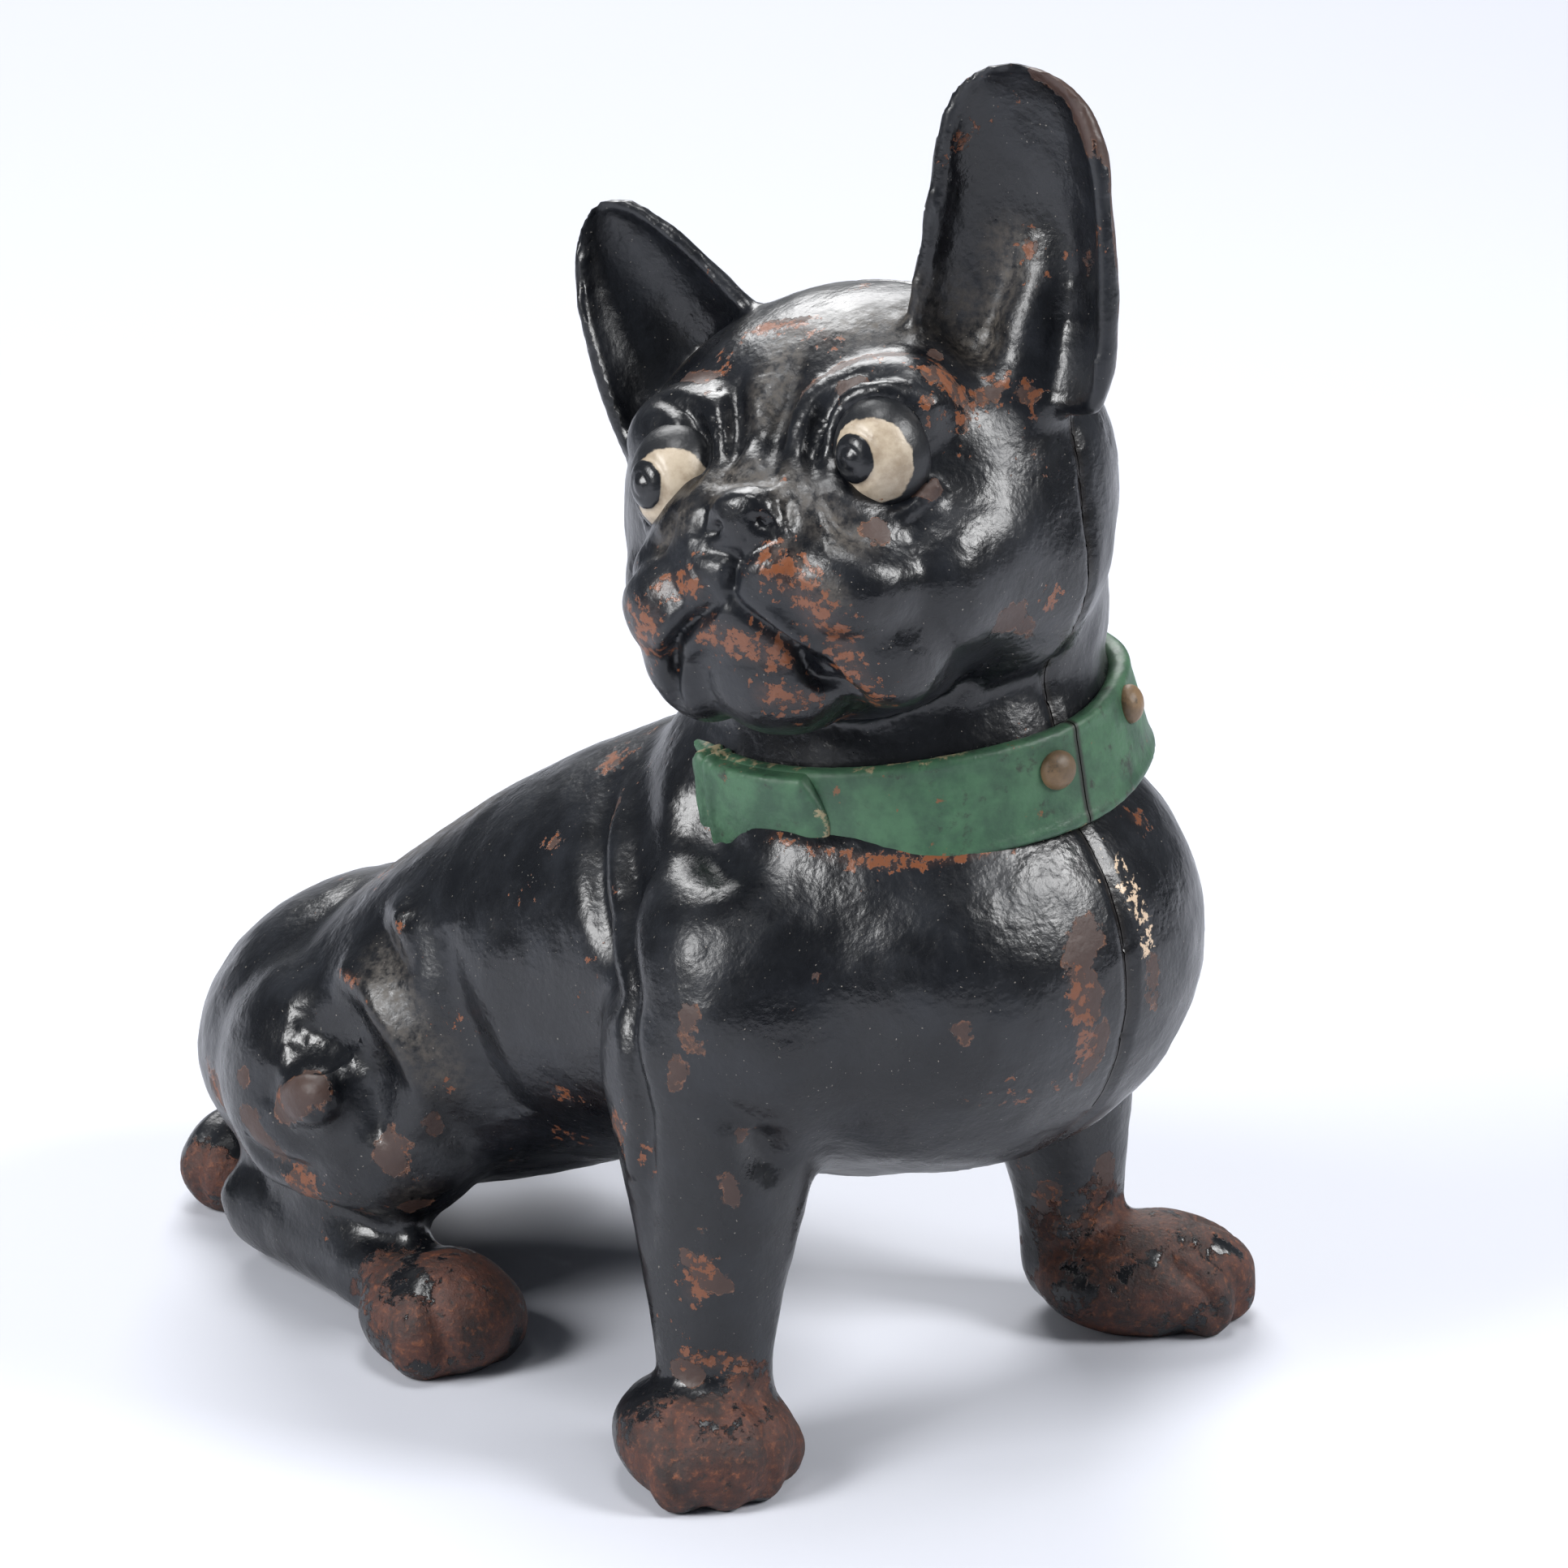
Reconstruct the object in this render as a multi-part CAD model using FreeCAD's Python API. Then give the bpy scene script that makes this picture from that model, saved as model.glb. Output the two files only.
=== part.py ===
import FreeCAD, Part
import math, os

# Sitting French bulldog coin bank in cast iron.
# Two hollow castings meet on the plane X = 0, one for each side of the dog.
# The chest faces -Y, the dog's right side is -X, the paws stand on Z = 0, millimetres.
# Two slotted screws go in from the left casting, through its bosses,
# into square nuts that lie in pockets in the right casting's bosses.

Vec = FreeCAD.Vector

# Overall sizes of the dog
body_length = 170.0          # front of the chest to the back of the rump
body_width = 81.0            # across the shoulders
back_height = 103.0          # ground to the top of the shoulders
chest_front = -59.0          # Y of the front of the chest
rump_shift = -5.0            # X of the middle of the rump, which swings to the right

# Casting
wall = 4.0                   # thickness of the iron
boss_radius = 8.5            # posts inside the castings, round the screws
slot_width = 4.8             # coin slot, across the parting line
slot_length = 38.0           # coin slot, along the back
slot_place = 0.62            # middle of the slot, as a part of the body's length
slot_slope = 31.0            # degrees that the back falls at the slot
slot_reach = 12.0            # how far the slot's cut goes above and below the back

# Neck, collar and head
neck_radius = 29.0
neck_height = 36.0
collar_height = 11.5
collar_proud = 1.3           # how far the strap stands off the neck
collar_centre = Vec(2, chest_front + 41.5, back_height - 4)
collar_lean = (0.20, -0.08)  # rise of the collar for each millimetre along X and along Y
head_centre = collar_centre + Vec(-11, 0.5, 35)
head_turn = -73.0            # degrees, the face looks over the dog's right shoulder
head_tilt = -13.0            # degrees, the dog's right ear is the lower one
skull_radii = (34.5, 32.5, 29.0)
ear_radii = (13.4, 6.5, 22.0)
ear_cup = 3.2                # depth of the hollow in the front of an ear
eye_radius = 7.5

# Legs and feet
leg_top_radius = 17.0
leg_ankle_radius = 8.5
leg_top_height = 60.0
ankle_height = 20.0
paw_height = 16.0
toe_radius = 4.2
tail_radius = 4.6

# Screws, washers and nuts
screw_diameter = 4.8
screw_head_diameter = 9.5
screw_head_height = 3.0
screw_head_round = 0.9
screw_slot_width = 1.2
screw_slot_depth = 1.4
screw_tip_past_nut = 5.0
washer_diameter = 12.0
washer_thickness = 1.2
nut_width = 9.5
nut_thickness = 4.0
seat_depth = 6.0             # flat seat for the washer, below the dog's side
seat_clearance = 0.6         # round the washer
bore_clearance = 0.35        # round the screw, in the bosses and the washer
thread_clearance = 0.06      # round the screw, in the nut
pocket_clearance = 0.2       # round and above the nut
shoulder_screw_place = (0.235, 0.755)  # along the body's length, up the back's height
hip_screw_place = (0.71, 0.455)

# Stations of the trunk: along the length, centre's height, half width, half height, share of rump_shift
trunk_stations = [
    (0.20, 0.680, 0.485, 0.335, 0.0),
    (0.34, 0.640, 0.470, 0.340, 0.0),
    (0.48, 0.580, 0.450, 0.325, 0.1),
    (0.62, 0.475, 0.440, 0.310, 0.5),
    (0.76, 0.355, 0.410, 0.260, 0.9),
    (0.86, 0.285, 0.310, 0.180, 1.0),
]


def along(share):
    return chest_front + body_length * share


def one_solid(shape):
    return max(shape.Solids, key=lambda solid: solid.Volume)


def quartered_sphere():
    """A sphere of radius 1 whose surface is four quarters, so that no face closes on itself."""
    quarters = [Part.makeSphere(1, Vec(0, 0, 0), Vec(0, 0, 1), -90, 90, 90) for _ in range(4)]
    for index, quarter in enumerate(quarters):
        quarter.rotate(Vec(0, 0, 0), Vec(0, 0, 1), 45 + 90 * index)
    return one_solid(quarters[0].fuse(quarters[1:]))


def ball(centre, radii, tilt=0, turn=0, pitch=0):
    """A ball stretched along its own axes, then turned: pitch about X, tilt about Y, turn about Z."""
    stretch = FreeCAD.Matrix()
    stretch.scale(Vec(*radii))
    solid = quartered_sphere().transformGeometry(stretch)
    spin = FreeCAD.Rotation(Vec(0, 0, 1), turn) * FreeCAD.Rotation(Vec(1, 0, 0), pitch)
    spin = spin * FreeCAD.Rotation(Vec(0, 1, 0), tilt)
    solid.Placement = FreeCAD.Placement(Vec(*centre), spin)
    return solid


def limb(start, start_radius, end, end_radius):
    """A tapered bar with ball ends, as of a leg or a foot."""
    start, end = Vec(*start), Vec(*end)
    axis = end - start
    lean = math.asin((start_radius - end_radius) / axis.Length)
    rise, reach = math.sin(lean), math.cos(lean)
    low = Vec(start_radius * reach, 0, start_radius * rise)
    high = Vec(end_radius * reach, 0, axis.Length + end_radius * rise)
    bar = Part.makeCone(low.x, high.x, high.z - low.z, Vec(0, 0, low.z))
    bar.Placement = FreeCAD.Placement(start, FreeCAD.Rotation(Vec(0, 0, 1), axis))
    balls = [Part.makeSphere(start_radius, start), Part.makeSphere(end_radius, end)]
    return bar.fuse(balls)


def trunk(inset):
    """The barrel of the body from the shoulders to the hips, its surface moved in by inset."""
    rings = []
    for share, height, half_width, half_height, swing in trunk_stations:
        middle = Vec(rump_shift * swing, along(share), back_height * height)
        across = body_width * half_width - inset
        upright = back_height * half_height - inset
        wide = across >= upright
        ellipse = Part.Ellipse(Vec(0, 0, 0), max(across, upright), min(across, upright))
        spin = FreeCAD.Rotation(Vec(1, 0, 0), 90)
        if not wide:
            spin = FreeCAD.Rotation(Vec(0, 1, 0), 90) * spin
        arcs = [ellipse.toShape((0.5 + i) * math.pi / 2, (1.5 + i) * math.pi / 2) for i in range(4)]
        ring = Part.Wire(arcs)
        ring.Placement = FreeCAD.Placement(middle, spin)
        rings.append(ring)
    return Part.makeLoft(rings, True)


def chest(inset):
    radii = (body_width / 2 - inset, body_length * 0.225 - inset, back_height * 0.325 - inset)
    return ball((1.5, along(0.225), back_height * 0.675), radii)


def rump(inset):
    radii = (body_width * 0.40 - inset, body_length * 0.185 - inset, back_height * 0.24 - inset)
    return ball((rump_shift, along(0.80), back_height * 0.32), radii, pitch=-15)


def collar_axis():
    return Vec(-collar_lean[0], -collar_lean[1], 1).normalize()


def band(radius, height):
    """A round slab about the neck's axis, centred on the collar."""
    spin = FreeCAD.Rotation(Vec(0, 0, 1), collar_axis())
    slab = Part.makeCylinder(radius, height, Vec(0, 0, -height / 2))
    slab.Placement = FreeCAD.Placement(collar_centre, spin)
    return slab


def collar_stud(angle):
    """A round rivet on the collar, at degrees round the neck from +X."""
    post = Part.makeCylinder(2.9, neck_radius + collar_proud + 1.4)
    lying = FreeCAD.Rotation(Vec(0, 0, 1), angle) * FreeCAD.Rotation(Vec(0, 1, 0), 90)
    spin = FreeCAD.Rotation(Vec(0, 0, 1), collar_axis()) * lying
    post.Placement = FreeCAD.Placement(collar_centre, spin)
    return post


def on_head(solid):
    """Move a solid from the head's own frame, where the face looks along -Y, to its place."""
    spin = FreeCAD.Rotation(Vec(0, 0, 1), head_turn) * FreeCAD.Rotation(Vec(0, 1, 0), head_tilt)
    solid.Placement = FreeCAD.Placement(head_centre, spin).multiply(solid.Placement)
    return solid


def head_masses():
    """Skull, brow, cheeks, muzzle, lips, chin, nose and eyes."""
    wide, deep, tall = skull_radii
    masses = [ball((0, 4, -1), skull_radii)]
    masses.append(ball((0, -deep * 0.66, -tall * 0.13), (wide * 0.60, deep * 0.60, tall * 0.60)))
    masses.append(ball((0, -deep * 0.68, -tall * 0.58), (wide * 0.34, deep * 0.38, tall * 0.32)))
    masses.append(ball((1, -deep * 1.12, tall * 0.21), (wide * 0.15, deep * 0.12, tall * 0.14)))
    for side in (-1, 1):
        masses.append(ball((side * wide * 0.52, 0, -tall * 0.30), (wide * 0.46, deep * 0.68, tall * 0.60)))
        masses.append(ball((side * wide * 0.36, -deep * 0.86, -tall * 0.28),
                           (wide * 0.34, deep * 0.42, tall * 0.36), tilt=side * 25))
        masses.append(ball((1 + side * wide * 0.46, -deep * 0.70, tall * 0.33), (eye_radius,) * 3))
    return masses


def ear(side, lean, base_x, base_z):
    """An upright ear with a hollow front, its foot sunk in the skull."""
    wide, thick, tall = ear_radii
    blade = ball((0, 0, 0), ear_radii)
    hollow = ball((0, -thick, 2), (wide * 0.72, ear_cup + thick * 0.45, tall * 0.80))
    blade = blade.cut(hollow)
    spin = FreeCAD.Rotation(Vec(0, 1, 0), lean)
    middle = Vec(side * base_x, 4, base_z) + spin.multVec(Vec(0, 0, tall * 0.80))
    blade.Placement = FreeCAD.Placement(middle, spin)
    return blade


def on_ground(solid):
    """A flat sole: what lies under Z = 0 is taken off."""
    return solid.cut(Part.makeBox(400, 400, 60, Vec(-200, -200, -60)))


def paw(centre, reach, width, turn, toes):
    """A paw with a flat sole and a row of toes at the front end of its long axis."""
    half = paw_height / 2
    pad = ball((centre[0], centre[1], half - 1), (width / 2, reach / 2, half + 1), turn=turn)
    spin = FreeCAD.Rotation(Vec(0, 0, 1), turn)
    parts = [pad]
    for index in range(toes):
        spread = (index / (toes - 1) - 0.5) * 2
        x = spread * (width / 2 - toe_radius * 0.8)
        y = -(reach / 2 - toe_radius * 0.75) * math.sqrt(1 - 0.62 * spread ** 2)
        place = Vec(*centre, toe_radius) + spin.multVec(Vec(x, y, 0))
        parts.append(Part.makeSphere(toe_radius * 1.15, place))
    return [on_ground(part) for part in parts]


def front_leg(side, paw_ahead, reach, width, turn):
    """A straight foreleg on the dog's left (1) or right (-1), and its paw, paw_ahead from the ankle."""
    shoulder = Vec(side * body_width * 0.41, along(0.265), leg_top_height)
    ankle = Vec(side * body_width * 0.475, along(0.245), ankle_height)
    foot = Vec(ankle.x, ankle.y - 1.0, paw_height * 0.5)
    upper = limb(shoulder, leg_top_radius, ankle, leg_ankle_radius)
    lower = limb(ankle, leg_ankle_radius, foot, leg_ankle_radius - 0.6)
    paw_middle = (ankle.x + paw_ahead[0], ankle.y + paw_ahead[1])
    return [upper, lower] + paw(paw_middle, reach, width, turn, 4)


def hind_foot(heel, toes_at, width, turn):
    """A hind foot that lies on the ground from its heel to its toes."""
    foot = limb((*heel, 9.0), 8.0, (*toes_at, 7.5), 7.4)
    return [foot] + paw(toes_at, 25.0, width, turn, 2)


def haunches():
    """The two thighs and the short tail, which lies on the right one."""
    right = ball((-body_width * 0.35, along(0.72), 33), (16, 25, 21))
    left = ball((body_width * 0.27, along(0.73), 32), (19, 27, 24))
    root = (-body_width * 0.44, along(0.79), 27)
    tip = (-body_width * 0.53, along(0.675), 38)
    return [right, left, limb(root, 5.5, tip, tail_radius)]


def neck():
    """The neck with its two swells, into the shoulders and into the head, and the collar round it."""
    root = ball((1, collar_centre.y + 5, collar_centre.z - 14), (33, 33, 27))
    nape = ball((3, collar_centre.y + 2.5, collar_centre.z + 18), (28, 29, 24))
    strap = band(neck_radius + collar_proud, collar_height)
    return [band(neck_radius, neck_height), root, nape, strap, collar_stud(-86), collar_stud(-28)]


def dog_masses():
    """Every outer mass of the dog, each one overlapping its neighbours."""
    masses = [trunk(0), chest(0), rump(0)] + haunches() + neck()
    masses += [on_head(mass) for mass in head_masses()]
    masses += [on_head(ear(1, 13, 27, 16.5)), on_head(ear(-1, -22, 17, 9))]
    masses += front_leg(-1, (-3.8, -1.3), 27.0, 25.0, -12)
    masses += front_leg(1, (4.5, -11.0), 33.0, 24.0, 52)
    masses += hind_foot((-body_width * 0.33, along(0.84)), (-body_width * 0.45, along(0.575)), 23.0, -12)
    masses.append(on_ground(ball((0, along(0.945), 8.5), (body_width * 0.25, 9, 9.5), turn=-6)))
    masses += paw((-body_width * 0.16, along(0.955)), 25.0, 17.0, -100, 2)
    return masses


def cavity():
    """The hollow inside trunk, neck and head."""
    wide, deep, tall = skull_radii
    hollow = trunk(wall).fuse([chest(wall), rump(wall)])
    neck_hollow = band(neck_radius - wall, neck_height + 14)
    head_hollow = on_head(ball((0, 4, -1), (wide - wall, deep - wall, tall - wall)))
    return hollow.fuse([neck_hollow, head_hollow])


def coin_slot(skin):
    """A slanted box that cuts through the back along the parting line."""
    y = along(slot_place)
    probe = Part.makeLine(Vec(0, y, back_height * 0.5), Vec(0, y, back_height * 2))
    ridge = skin.common(probe).BoundBox.ZMax
    corner = Vec(-slot_width / 2, -slot_length / 2, -slot_reach)
    tool = Part.makeBox(slot_width, slot_length, 2 * slot_reach, corner)
    tool.Placement = FreeCAD.Placement(Vec(0, y, ridge), FreeCAD.Rotation(Vec(1, 0, 0), -slot_slope))
    return tool


def screw_centre(place):
    return along(place[0]), back_height * place[1]


def side_of(skin, y, z):
    """X of the dog's left side at a place, read off the outer skin."""
    probe = Part.makeLine(Vec(0, y, z), Vec(body_width, y, z))
    return skin.common(probe).BoundBox.XMax


def rod(radius, x_from, x_to, y, z):
    return Part.makeCylinder(radius, x_to - x_from, Vec(x_from, y, z), Vec(1, 0, 0))


def square_bar(width, x_from, x_to, y, z):
    corner = Vec(x_from, y - width / 2, z - width / 2)
    return Part.makeBox(x_to - x_from, width, width, corner)


def boss(skin, y, z):
    """A post across the hollow, trimmed to the dog's outer skin."""
    return rod(boss_radius, -body_width, body_width, y, z).common(skin)


def screw_space(seat, y, z):
    """What is cut for one screw: head recess, bore and nut pocket."""
    recess = rod(washer_diameter / 2 + seat_clearance, seat, body_width, y, z)
    bore_end = -nut_thickness - screw_tip_past_nut - 1.0
    bore = rod(screw_diameter / 2 + bore_clearance, bore_end, body_width, y, z)
    pocket = square_bar(nut_width + 2 * pocket_clearance, -nut_thickness - pocket_clearance, 0, y, z)
    return [recess, bore, pocket]


def screw(seat, y, z):
    under_head = seat + washer_thickness
    tip = -nut_thickness - screw_tip_past_nut
    shank = rod(screw_diameter / 2, tip, under_head, y, z)
    head = rod(screw_head_diameter / 2, under_head, under_head + screw_head_height, y, z)
    top = under_head + screw_head_height
    rim = [edge for edge in head.Edges if edge.CenterOfMass.x > top - 0.01]
    head = head.makeFillet(screw_head_round, rim)
    groove = Part.makeBox(screw_slot_depth + 1, screw_slot_width, screw_head_diameter + 2,
                          Vec(top - screw_slot_depth, y - screw_slot_width / 2,
                              z - screw_head_diameter / 2 - 1))
    return shank.fuse(head).cut(groove).removeSplitter()


def washer(seat, y, z):
    disc = rod(washer_diameter / 2, seat, seat + washer_thickness, y, z)
    return disc.cut(rod(screw_diameter / 2 + bore_clearance, seat - 1, seat + washer_thickness + 1, y, z))


def nut(y, z):
    floor = -nut_thickness - pocket_clearance
    block = square_bar(nut_width, floor, floor + nut_thickness, y, z)
    return block.cut(rod(screw_diameter / 2 + thread_clearance, floor - 1, 1, y, z))


def half(shell, side):
    """The part of the shell on one side of the parting plane."""
    space = Part.makeBox(200, 500, 400, Vec(0 if side > 0 else -200, -250, -50))
    return shell.common(space)


def build():
    masses = dog_masses()
    skin = masses[0].fuse(masses[1:])
    shell = skin.cut(cavity()).cut(coin_slot(skin))
    centres = {"shoulder": screw_centre(shoulder_screw_place), "hip": screw_centre(hip_screw_place)}
    seats = {name: side_of(skin, *centre) - seat_depth for name, centre in centres.items()}
    shell = shell.fuse([boss(skin, *centre) for centre in centres.values()])
    for name, centre in centres.items():
        shell = shell.cut(screw_space(seats[name], *centre))
    pieces = {"right_half_casting": half(shell, -1), "left_half_casting": half(shell, 1)}
    for name, centre in centres.items():
        pieces[name + "_screw"] = screw(seats[name], *centre)
        pieces[name + "_washer"] = washer(seats[name], *centre)
        pieces[name + "_nut"] = nut(*centre)
    return {name: one_solid(shape) for name, shape in pieces.items()}


def stand_on_origin(pieces):
    """Move every piece so that the origin, on the ground already, is the middle of the dog's plan."""
    box = FreeCAD.BoundBox()
    for name in ("right_half_casting", "left_half_casting"):
        box.add(pieces[name].optimalBoundingBox(False))
    shift = Vec(-(box.XMin + box.XMax) / 2, -(box.YMin + box.YMax) / 2, 0)
    for solid in pieces.values():
        solid.translate(shift)
    return shift


os.makedirs("parts", exist_ok=True)
dog = build()
print("moved by", stand_on_origin(dog))
for name, solid in dog.items():
    solid.exportStep("parts/" + name + ".step")
    print(name, solid.ShapeType, solid.isValid(), "volume", round(solid.Volume / 1000, 2), "cm3")
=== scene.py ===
import bpy, bmesh, math
import numpy as np
from mathutils import Matrix, Vector
from mathutils.kdtree import KDTree


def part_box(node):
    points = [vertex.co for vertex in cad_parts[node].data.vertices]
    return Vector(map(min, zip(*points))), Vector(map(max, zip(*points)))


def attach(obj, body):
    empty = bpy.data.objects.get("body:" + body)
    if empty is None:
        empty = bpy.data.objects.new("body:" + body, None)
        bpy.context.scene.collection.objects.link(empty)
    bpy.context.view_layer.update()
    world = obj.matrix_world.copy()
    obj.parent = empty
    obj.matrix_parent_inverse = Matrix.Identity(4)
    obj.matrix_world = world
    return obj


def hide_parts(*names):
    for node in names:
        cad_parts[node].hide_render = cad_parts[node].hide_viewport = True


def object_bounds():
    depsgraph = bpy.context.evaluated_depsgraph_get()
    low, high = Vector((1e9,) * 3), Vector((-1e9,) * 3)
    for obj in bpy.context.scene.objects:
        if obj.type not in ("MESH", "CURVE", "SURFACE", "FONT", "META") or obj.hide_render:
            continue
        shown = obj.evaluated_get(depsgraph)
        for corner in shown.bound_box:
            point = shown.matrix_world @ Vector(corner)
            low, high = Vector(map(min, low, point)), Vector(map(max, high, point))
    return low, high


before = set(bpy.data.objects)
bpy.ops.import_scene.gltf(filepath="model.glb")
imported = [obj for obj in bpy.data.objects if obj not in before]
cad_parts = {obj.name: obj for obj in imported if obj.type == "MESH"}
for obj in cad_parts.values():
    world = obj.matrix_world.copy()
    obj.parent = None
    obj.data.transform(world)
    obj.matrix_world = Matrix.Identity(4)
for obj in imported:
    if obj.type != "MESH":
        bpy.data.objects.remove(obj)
cadLow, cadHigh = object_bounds()

# The dog is modelled in millimetres about its parting plane, X = 0,
# chest towards -Y, its right side towards -X, and moved into the frame at the end.

mm = 0.001
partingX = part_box("right_half_casting")[1].x
shoulderLow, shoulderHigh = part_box("shoulder_screw")
shoulderY = -19.05    # the shoulder screw's place, in the dog's own millimetres
intoFrame = Matrix.Translation((partingX, (shoulderLow.y + shoulderHigh.y) / 2 - shoulderY * mm, 0))
intoFrame = intoFrame @ Matrix.Scale(mm, 4)

headPlace = Matrix.Translation((-9, -17, 134))
headPlace = headPlace @ Matrix.Rotation(math.radians(-73), 4, "Z")
headPlace = headPlace @ Matrix.Rotation(math.radians(-13), 4, "Y")


def say(text):
    print("bank:", text)


def deselect():
    bpy.ops.object.select_all(action="DESELECT")


def only(obj):
    deselect()
    obj.select_set(True)
    bpy.context.view_layer.objects.active = obj
    return obj


def join(objects, name):
    deselect()
    for obj in objects:
        obj.select_set(True)
    bpy.context.view_layer.objects.active = objects[0]
    bpy.ops.object.join()
    objects[0].name = name
    objects[0].data.name = name
    return objects[0]


def finish(obj, kind, name, **settings):
    # adds a modifier and applies it at once
    only(obj)
    modifier = obj.modifiers.new(name, kind)
    for key, value in settings.items():
        setattr(modifier, key, value)
    bpy.ops.object.modifier_apply(modifier=modifier.name)
    return obj


def combine(obj, tool, how, keep=False):
    finish(obj, "BOOLEAN", "cut", operation=how, object=tool, solver="MANIFOLD")
    if not keep:
        bpy.data.objects.remove(tool)
    return obj


def soften(obj, voxel, rounds):
    finish(obj, "REMESH", "skin", mode="VOXEL", voxel_size=voxel, adaptivity=0)
    finish(obj, "SMOOTH", "soften", factor=0.5, iterations=rounds)


def copied(obj, name):
    twin = obj.copy()
    twin.data = obj.data.copy()
    twin.name = twin.data.name = name
    bpy.context.scene.collection.objects.link(twin)
    return twin


def placed(obj, matrix):
    obj.data.transform(matrix @ obj.matrix_world)
    obj.matrix_world = Matrix.Identity(4)
    return obj


def numbers(obj, name, values):
    attribute = obj.data.attributes.new(name, "FLOAT", "POINT")
    attribute.data.foreach_set("value", np.asarray(values, np.float32))


def vertexPlaces(obj):
    co = np.zeros(len(obj.data.vertices) * 3)
    obj.data.vertices.foreach_get("co", co)
    return co.reshape(-1, 3)


def ball(centre, radii, turn=0, pitch=0, tilt=0, onHead=False):
    bpy.ops.mesh.primitive_uv_sphere_add(segments=40, ring_count=24, radius=1)
    obj = bpy.context.object
    spin = Matrix.Rotation(math.radians(turn), 4, "Z") @ Matrix.Rotation(math.radians(pitch), 4, "X")
    spin = spin @ Matrix.Rotation(math.radians(tilt), 4, "Y")
    matrix = Matrix.Translation(centre) @ spin @ Matrix.Diagonal((*radii, 1))
    if onHead:
        matrix = headPlace @ matrix
    return placed(obj, matrix)


def smoothLine(points, spacing):
    # a Catmull-Rom line through the points
    pts = [np.array(p, float) for p in points]
    pts = [2 * pts[0] - pts[1]] + pts + [2 * pts[-1] - pts[-2]]
    line = []
    for a, b, c, d in zip(pts, pts[1:], pts[2:], pts[3:]):
        count = max(2, int(np.linalg.norm(c - b) / spacing))
        for t in np.arange(count) / count:
            line.append(0.5 * (2 * b + (c - a) * t + (2 * a - 5 * b + 4 * c - d) * t ** 2
                               + (3 * b - a - 3 * c + d) * t ** 3))
    line.append(pts[-2])
    return np.array(line)


def roll(points, radii, onHead=False):
    # a tapered roll along a line, as a leg, a lip or a fold
    line = smoothLine([(*p, r) for p, r in zip(points, radii)], 2.0)
    return [ball(p[:3], (p[3],) * 3, onHead=onHead) for p in line]


trunk = {
    # Y, middle Z, half width, half height, middle X
    "rings": [(-25, 70, 39.3, 34.5, 0), (-1.2, 66, 38.1, 35, 0), (22.6, 59.7, 36.5, 33.5, -0.5),
              (46.4, 48.9, 35.6, 31.9, -2.5), (70.2, 36.6, 33.2, 26.8, -4.5), (87.2, 29.4, 25.1, 18.5, -5)],
    "sides": 48,
}


def makeTrunk(inset):
    loops = []
    for y, z, wide, tall, x in smoothLine(trunk["rings"], 6.0):
        angles = [2 * math.pi * i / trunk["sides"] for i in range(trunk["sides"])]
        loops.append([(x + (wide - inset) * math.cos(a), y, z + (tall - inset) * math.sin(a))
                      for a in angles])
    return tube("trunk", loops)


body = {
    "balls": [
        # centre, radii, pitch
        ((1.5, -20.75, 69.5), (40.5, 38.25, 33.5), 0),
        ((-5, 77, 33), (32.4, 31.45, 24.7), -15),
        ((-28.3, 63.4, 33), (16, 25, 21), 0),
        ((21.9, 65.1, 32), (19, 27, 24), 0),
        ((1, -12.5, 85), (33, 33, 27), 0),
        ((3, -15, 117), (28, 29, 24), 0),
        ((2, -17.5, 99), (29, 29, 24), 0),
        ((-29.0, -17.0, 67), (19.0, 21, 22), 0),
        ((30.5, -15.5, 66), (18.5, 20, 22), 0),
    ],
    "headBalls": [
        ((0, 4, -1), (34.5, 32.5, 29)),
        ((0, -21.5, -3.8), (20.7, 19.5, 17.4)),
        ((-17.9, 0, -8.7), (15.9, 22.1, 17.4)),
        ((17.9, 0, -8.7), (15.9, 22.1, 17.4)),
    ],
    "rolls": [
        # front legs
        ([(-33.2, -13.9, 60), (-36, -15.8, 40), (-38.5, -17.3, 20), (-38.6, -18.3, 8)], [17, 12.2, 8.6, 8.2]),
        ([(33.2, -13.9, 60), (36, -15.8, 40), (38.5, -17.3, 20), (38.8, -18.3, 8)], [17, 12.2, 8.6, 8.2]),
        # hind feet, heel to toes
        ([(-26.7, 83.8, 9), (-30, 66, 8.6), (-36.4, 38.8, 8)], [8.2, 7.6, 7.4]),
    ],
    "farFoot": ((0, 101.65, 8.5), (20.25, 9, 9.5), -6),
    "tail": ([(-34.5, 76, 27), (-39.5, 66, 32), (-42.9, 55.75, 38)], [5.5, 5.2, 4.8]),
    "voxel": 1.5, "rounds": 16,
}


def makeBody():
    parts = [makeTrunk(0)]
    parts += [ball(centre, radii, pitch=pitch) for centre, radii, pitch in body["balls"]]
    parts += [ball(centre, radii, onHead=True) for centre, radii in body["headBalls"]]
    for points, radii in body["rolls"]:
        parts += roll(points, radii)
    parts.append(ball(*body["farFoot"]))
    dog = join(parts, "dogBody")
    soften(dog, body["voxel"], body["rounds"])
    say("body masses %d faces" % len(dog.data.polygons))
    return dog


paws = {
    # middle, length, width, turn, toes, radius of a toe
    "right": ((-42.3, -18.6), 27, 25, -12, 4, 4.4), "left": ((43.0, -28.35), 33, 24, 52, 4, 4.4),
    "rightFoot": ((-36.45, 38.75), 25, 23, -12, 2, 5.6), "leftFoot": ((-12.96, 103.35), 25, 17, -100, 2, 5.0),
}


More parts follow.
